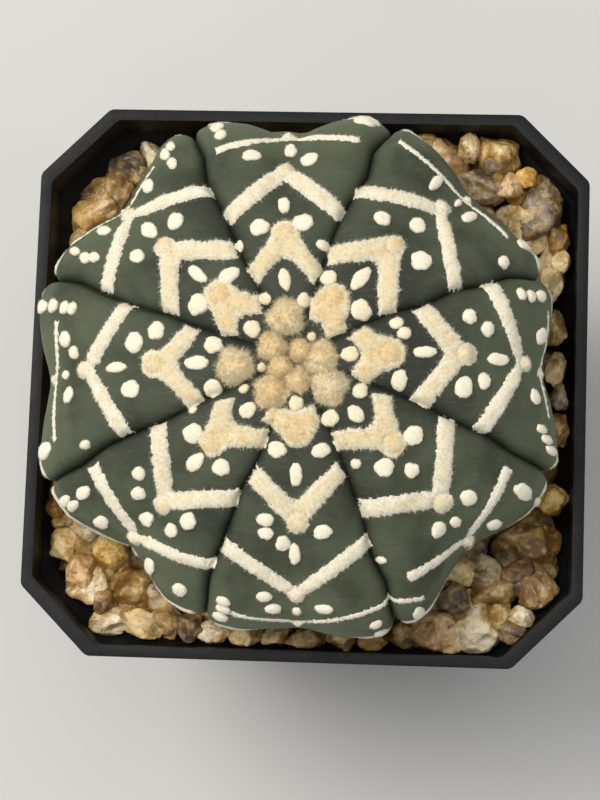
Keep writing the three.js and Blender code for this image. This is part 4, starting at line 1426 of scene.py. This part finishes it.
class POTTED_CACTUS_OT_plant(bpy.types.Operator):
    """Makes the cactus's ribbed skin"""

    bl_idname = "potted_cactus.plant"
    bl_label = "Make the plant"

    COLUMNS = 40
    ROWS = 150
    # The share of the ball's fall at which the skin has come down to its neck, and how far over it
    NECK_FALL = 0.88
    OVER_NECK = 8
    SIDE_POWER = 1.6
    GROOVE_SHADOW = 0.6
    CROWN_SHADOW = 19

    def execute(self, context):
        plant = settings().plant
        skin = Skin(plant)
        deselect()
        bpy.ops.mesh.primitive_uv_sphere_add(segments=RIBS * self.COLUMNS, ring_count=self.ROWS, radius=1)
        made = context.object
        made.name = "cactus_body"
        ball = np.array([vertex.co for vertex in made.data.vertices])
        part = np.arctan2(ball[:, 1], ball[:, 0]) / (2 * HALF_RIB) + 0.5 + 1e-6
        rib = np.floor(part).astype(int) % RIBS
        share = np.sin((2 * np.mod(part, 1) - 1) * math.pi / 2)
        fall = np.arccos(np.clip(ball[:, 2], -1, 1)) / math.pi
        run = np.interp(fall, (0, self.NECK_FALL, 1), (0, skin.neck_run - self.OVER_NECK, skin.runs[-1]))
        turn = np.zeros(len(ball))
        for which in range(RIBS):
            chosen = rib == which
            turn[chosen] = skin.turn_at(which, share[chosen], run[chosen])
        points = skin.point(turn, run)
        poles = np.abs(ball[:, 2]) > 1 - 1e-7
        points[poles, :2] = skin.CENTRE, 0
        made.data.vertices.foreach_set("co", (points * MM).ravel())
        radius, _, outward, _ = skin.outline(run)
        from_groove = (1 - np.abs(share)) * HALF_RIB * radius
        side = np.clip(outward, 0, 1) ** self.SIDE_POWER
        groove = np.exp(-from_groove / self.GROOVE_SHADOW) * np.clip(radius / 8, 0, 1)
        crown = bell(radius, self.CROWN_SHADOW)
        for trait, values in (("side", side), ("groove", groove), ("crown", crown)):
            add_trait(made.data, trait, values)
        made.data.update()
        finish_piece(made, skin_finish(plant))
        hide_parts("cactus")
        return {"FINISHED"}


class POTTED_CACTUS_OT_wool(bpy.types.Operator):
    """Makes the wool: chevrons, the crown's tufts and loose dots"""

    bl_idname = "potted_cactus.wool"
    bl_label = "Make the wool"

    CHEVRON_SEED = 21
    TUFT_SEED = 34
    DOT_SEED = 55
    DOT_MASTERS = 5
    # How far from the crown the inner chevrons and dots reach, and how broad a chevron is that the
    # photograph shows from above
    INNER_CHEVRONS = 26
    INNER_DOTS = 30
    SEEN_WHOLE = 0.6
    LOWER_KNOB = 1.4
    LOWER_BREADTH = 0.9
    # Each lower dot's share across its rib, and how far under the areole it lies
    LOWER_DOTS = ((-0.5, 0.6), (0.5, 1.0), (0.06, 3.4))
    LOWER_DOT_SIZES = (1.0, 1.45)
    LOWER_DOT_CREAM = 0.03

    def execute(self, context):
        wool = settings().wool
        skin = Skin(settings().plant)
        material = wool_finish(wool)
        self.add_chevrons(skin, wool, material)
        self.add_tufts(skin, wool, material)
        self.add_dots(skin, material)
        return {"FINISHED"}

    def add_chevrons(self, skin, wool, material):
        random = seeded(self.CHEVRON_SEED)
        heaps = {name: Heap("cream", "shade") for name in ("inner", "outer", "lower")}
        for *marks, (knob_x, knob_y, radius), breadth in CHEVRONS_SEEN:
            path = path_on_skin(skin, marks)
            run = skin.nearest(path)[1].mean()
            far = "outer" if breadth > self.SEEN_WHOLE else "lower"
            heap = heaps["inner" if run < self.INNER_CHEVRONS else far]
            knob = (skin.seen_at(knob_x, knob_y), radius / WOOL_PIXELS)
            add_chevron(heap, skin, path, knob, breadth, wool, random)
        for rib, run in lower_areoles(skin):
            knob = (skin_place(skin, rib, 0.0, run), self.LOWER_KNOB)
            path = lower_chevron(skin, rib, run)
            add_chevron(heaps["lower"], skin, path, knob, self.LOWER_BREADTH, wool, random)
        for name, heap in heaps.items():
            heap.piece(f"{name}_chevrons", "wool", material)

    def add_tufts(self, skin, wool, material):
        random = seeded(self.TUFT_SEED)
        heap = Heap("cream", "shade")
        for x, y, radius, cream in TUFTS_SEEN:
            add_tuft(heap, skin, skin.seen_at(x, y), radius / WOOL_PIXELS, wool.tuft, cream, random)
        heap.piece("crown_tufts", "wool", material)

    def add_dots(self, skin, material):
        random = seeded(self.DOT_SEED)
        masters = [dot_master(random) for _ in range(self.DOT_MASTERS)]
        inner = Heap("cream", "shade")
        outer = Heap("cream", "shade")
        for index, (x, y, width, height, lean) in enumerate(DOTS_SEEN):
            place = skin.seen_at(x, y)
            down, aside, reach = pixel_reach(skin, place, width, height, lean)
            run = skin.nearest(place)[1]
            cream = 0.05 + 0.45 * bell(run, 13)
            heap = inner if run < self.INNER_DOTS else outer
            add_dot(heap, skin, masters[index % len(masters)], place, down, aside, reach, cream, random)
        for index, (rib, run) in enumerate(lower_areoles(skin)):
            for share, beyond in self.LOWER_DOTS:
                place = skin_place(skin, rib, share + random.uniform(-0.06, 0.06), run + beyond)
                below = skin_place(skin, rib, share, run + beyond + 1)
                down = unit(below - place)
                aside = np.cross(skin.normal(*skin.nearest(place)), down)
                reach = random.uniform(*self.LOWER_DOT_SIZES, 2)
                add_dot(outer, skin, masters[index % len(masters)], place, down, aside, reach,
                    self.LOWER_DOT_CREAM, random)
        inner.piece("inner_dots", "wool", material)
        outer.piece("outer_dots", "wool", material)


class PottedCactusSettings(bpy.types.PropertyGroup):
    """All the settings of the potted cactus."""

    plant: bpy.props.PointerProperty(type=PlantSettings)
    wool: bpy.props.PointerProperty(type=WoolSettings)
    gravel: bpy.props.PointerProperty(type=GravelSettings)
    pot: bpy.props.PointerProperty(type=PotSettings)
    stage: bpy.props.PointerProperty(type=StageSettings)


STEPS = (
    POTTED_CACTUS_OT_stage,
    POTTED_CACTUS_OT_pot,
    POTTED_CACTUS_OT_fill,
    POTTED_CACTUS_OT_plant,
    POTTED_CACTUS_OT_wool,
)


class POTTED_CACTUS_PT_panel(bpy.types.Panel):
    """Lists the steps and the settings in the 3D view's sidebar"""

    bl_idname = "POTTED_CACTUS_PT_panel"
    bl_label = "Potted cactus"
    bl_space_type = "VIEW_3D"
    bl_region_type = "UI"
    bl_category = "Cactus"

    def draw(self, context):
        for step in STEPS:
            self.layout.operator(step.bl_idname)
        for name in ("plant", "wool", "gravel", "pot", "stage"):
            group = getattr(settings(), name)
            box = self.layout.box()
            for setting in group.__annotations__:
                box.prop(group, setting)


CLASSES = (PlantSettings, WoolSettings, GravelSettings, PotSettings, StageSettings,
    PottedCactusSettings, *STEPS, POTTED_CACTUS_PT_panel)


def register():
    for listed in CLASSES:
        bpy.utils.register_class(listed)
    bpy.types.Scene.potted_cactus = bpy.props.PointerProperty(type=PottedCactusSettings)


def unregister():
    del bpy.types.Scene.potted_cactus
    for listed in reversed(CLASSES):
        bpy.utils.unregister_class(listed)


def main():
    register()
    bpy.ops.potted_cactus.stage()
    bpy.ops.potted_cactus.pot()
    bpy.ops.potted_cactus.fill()
    bpy.ops.potted_cactus.plant()
    bpy.ops.potted_cactus.wool()


if __name__ == "__main__":
    main()
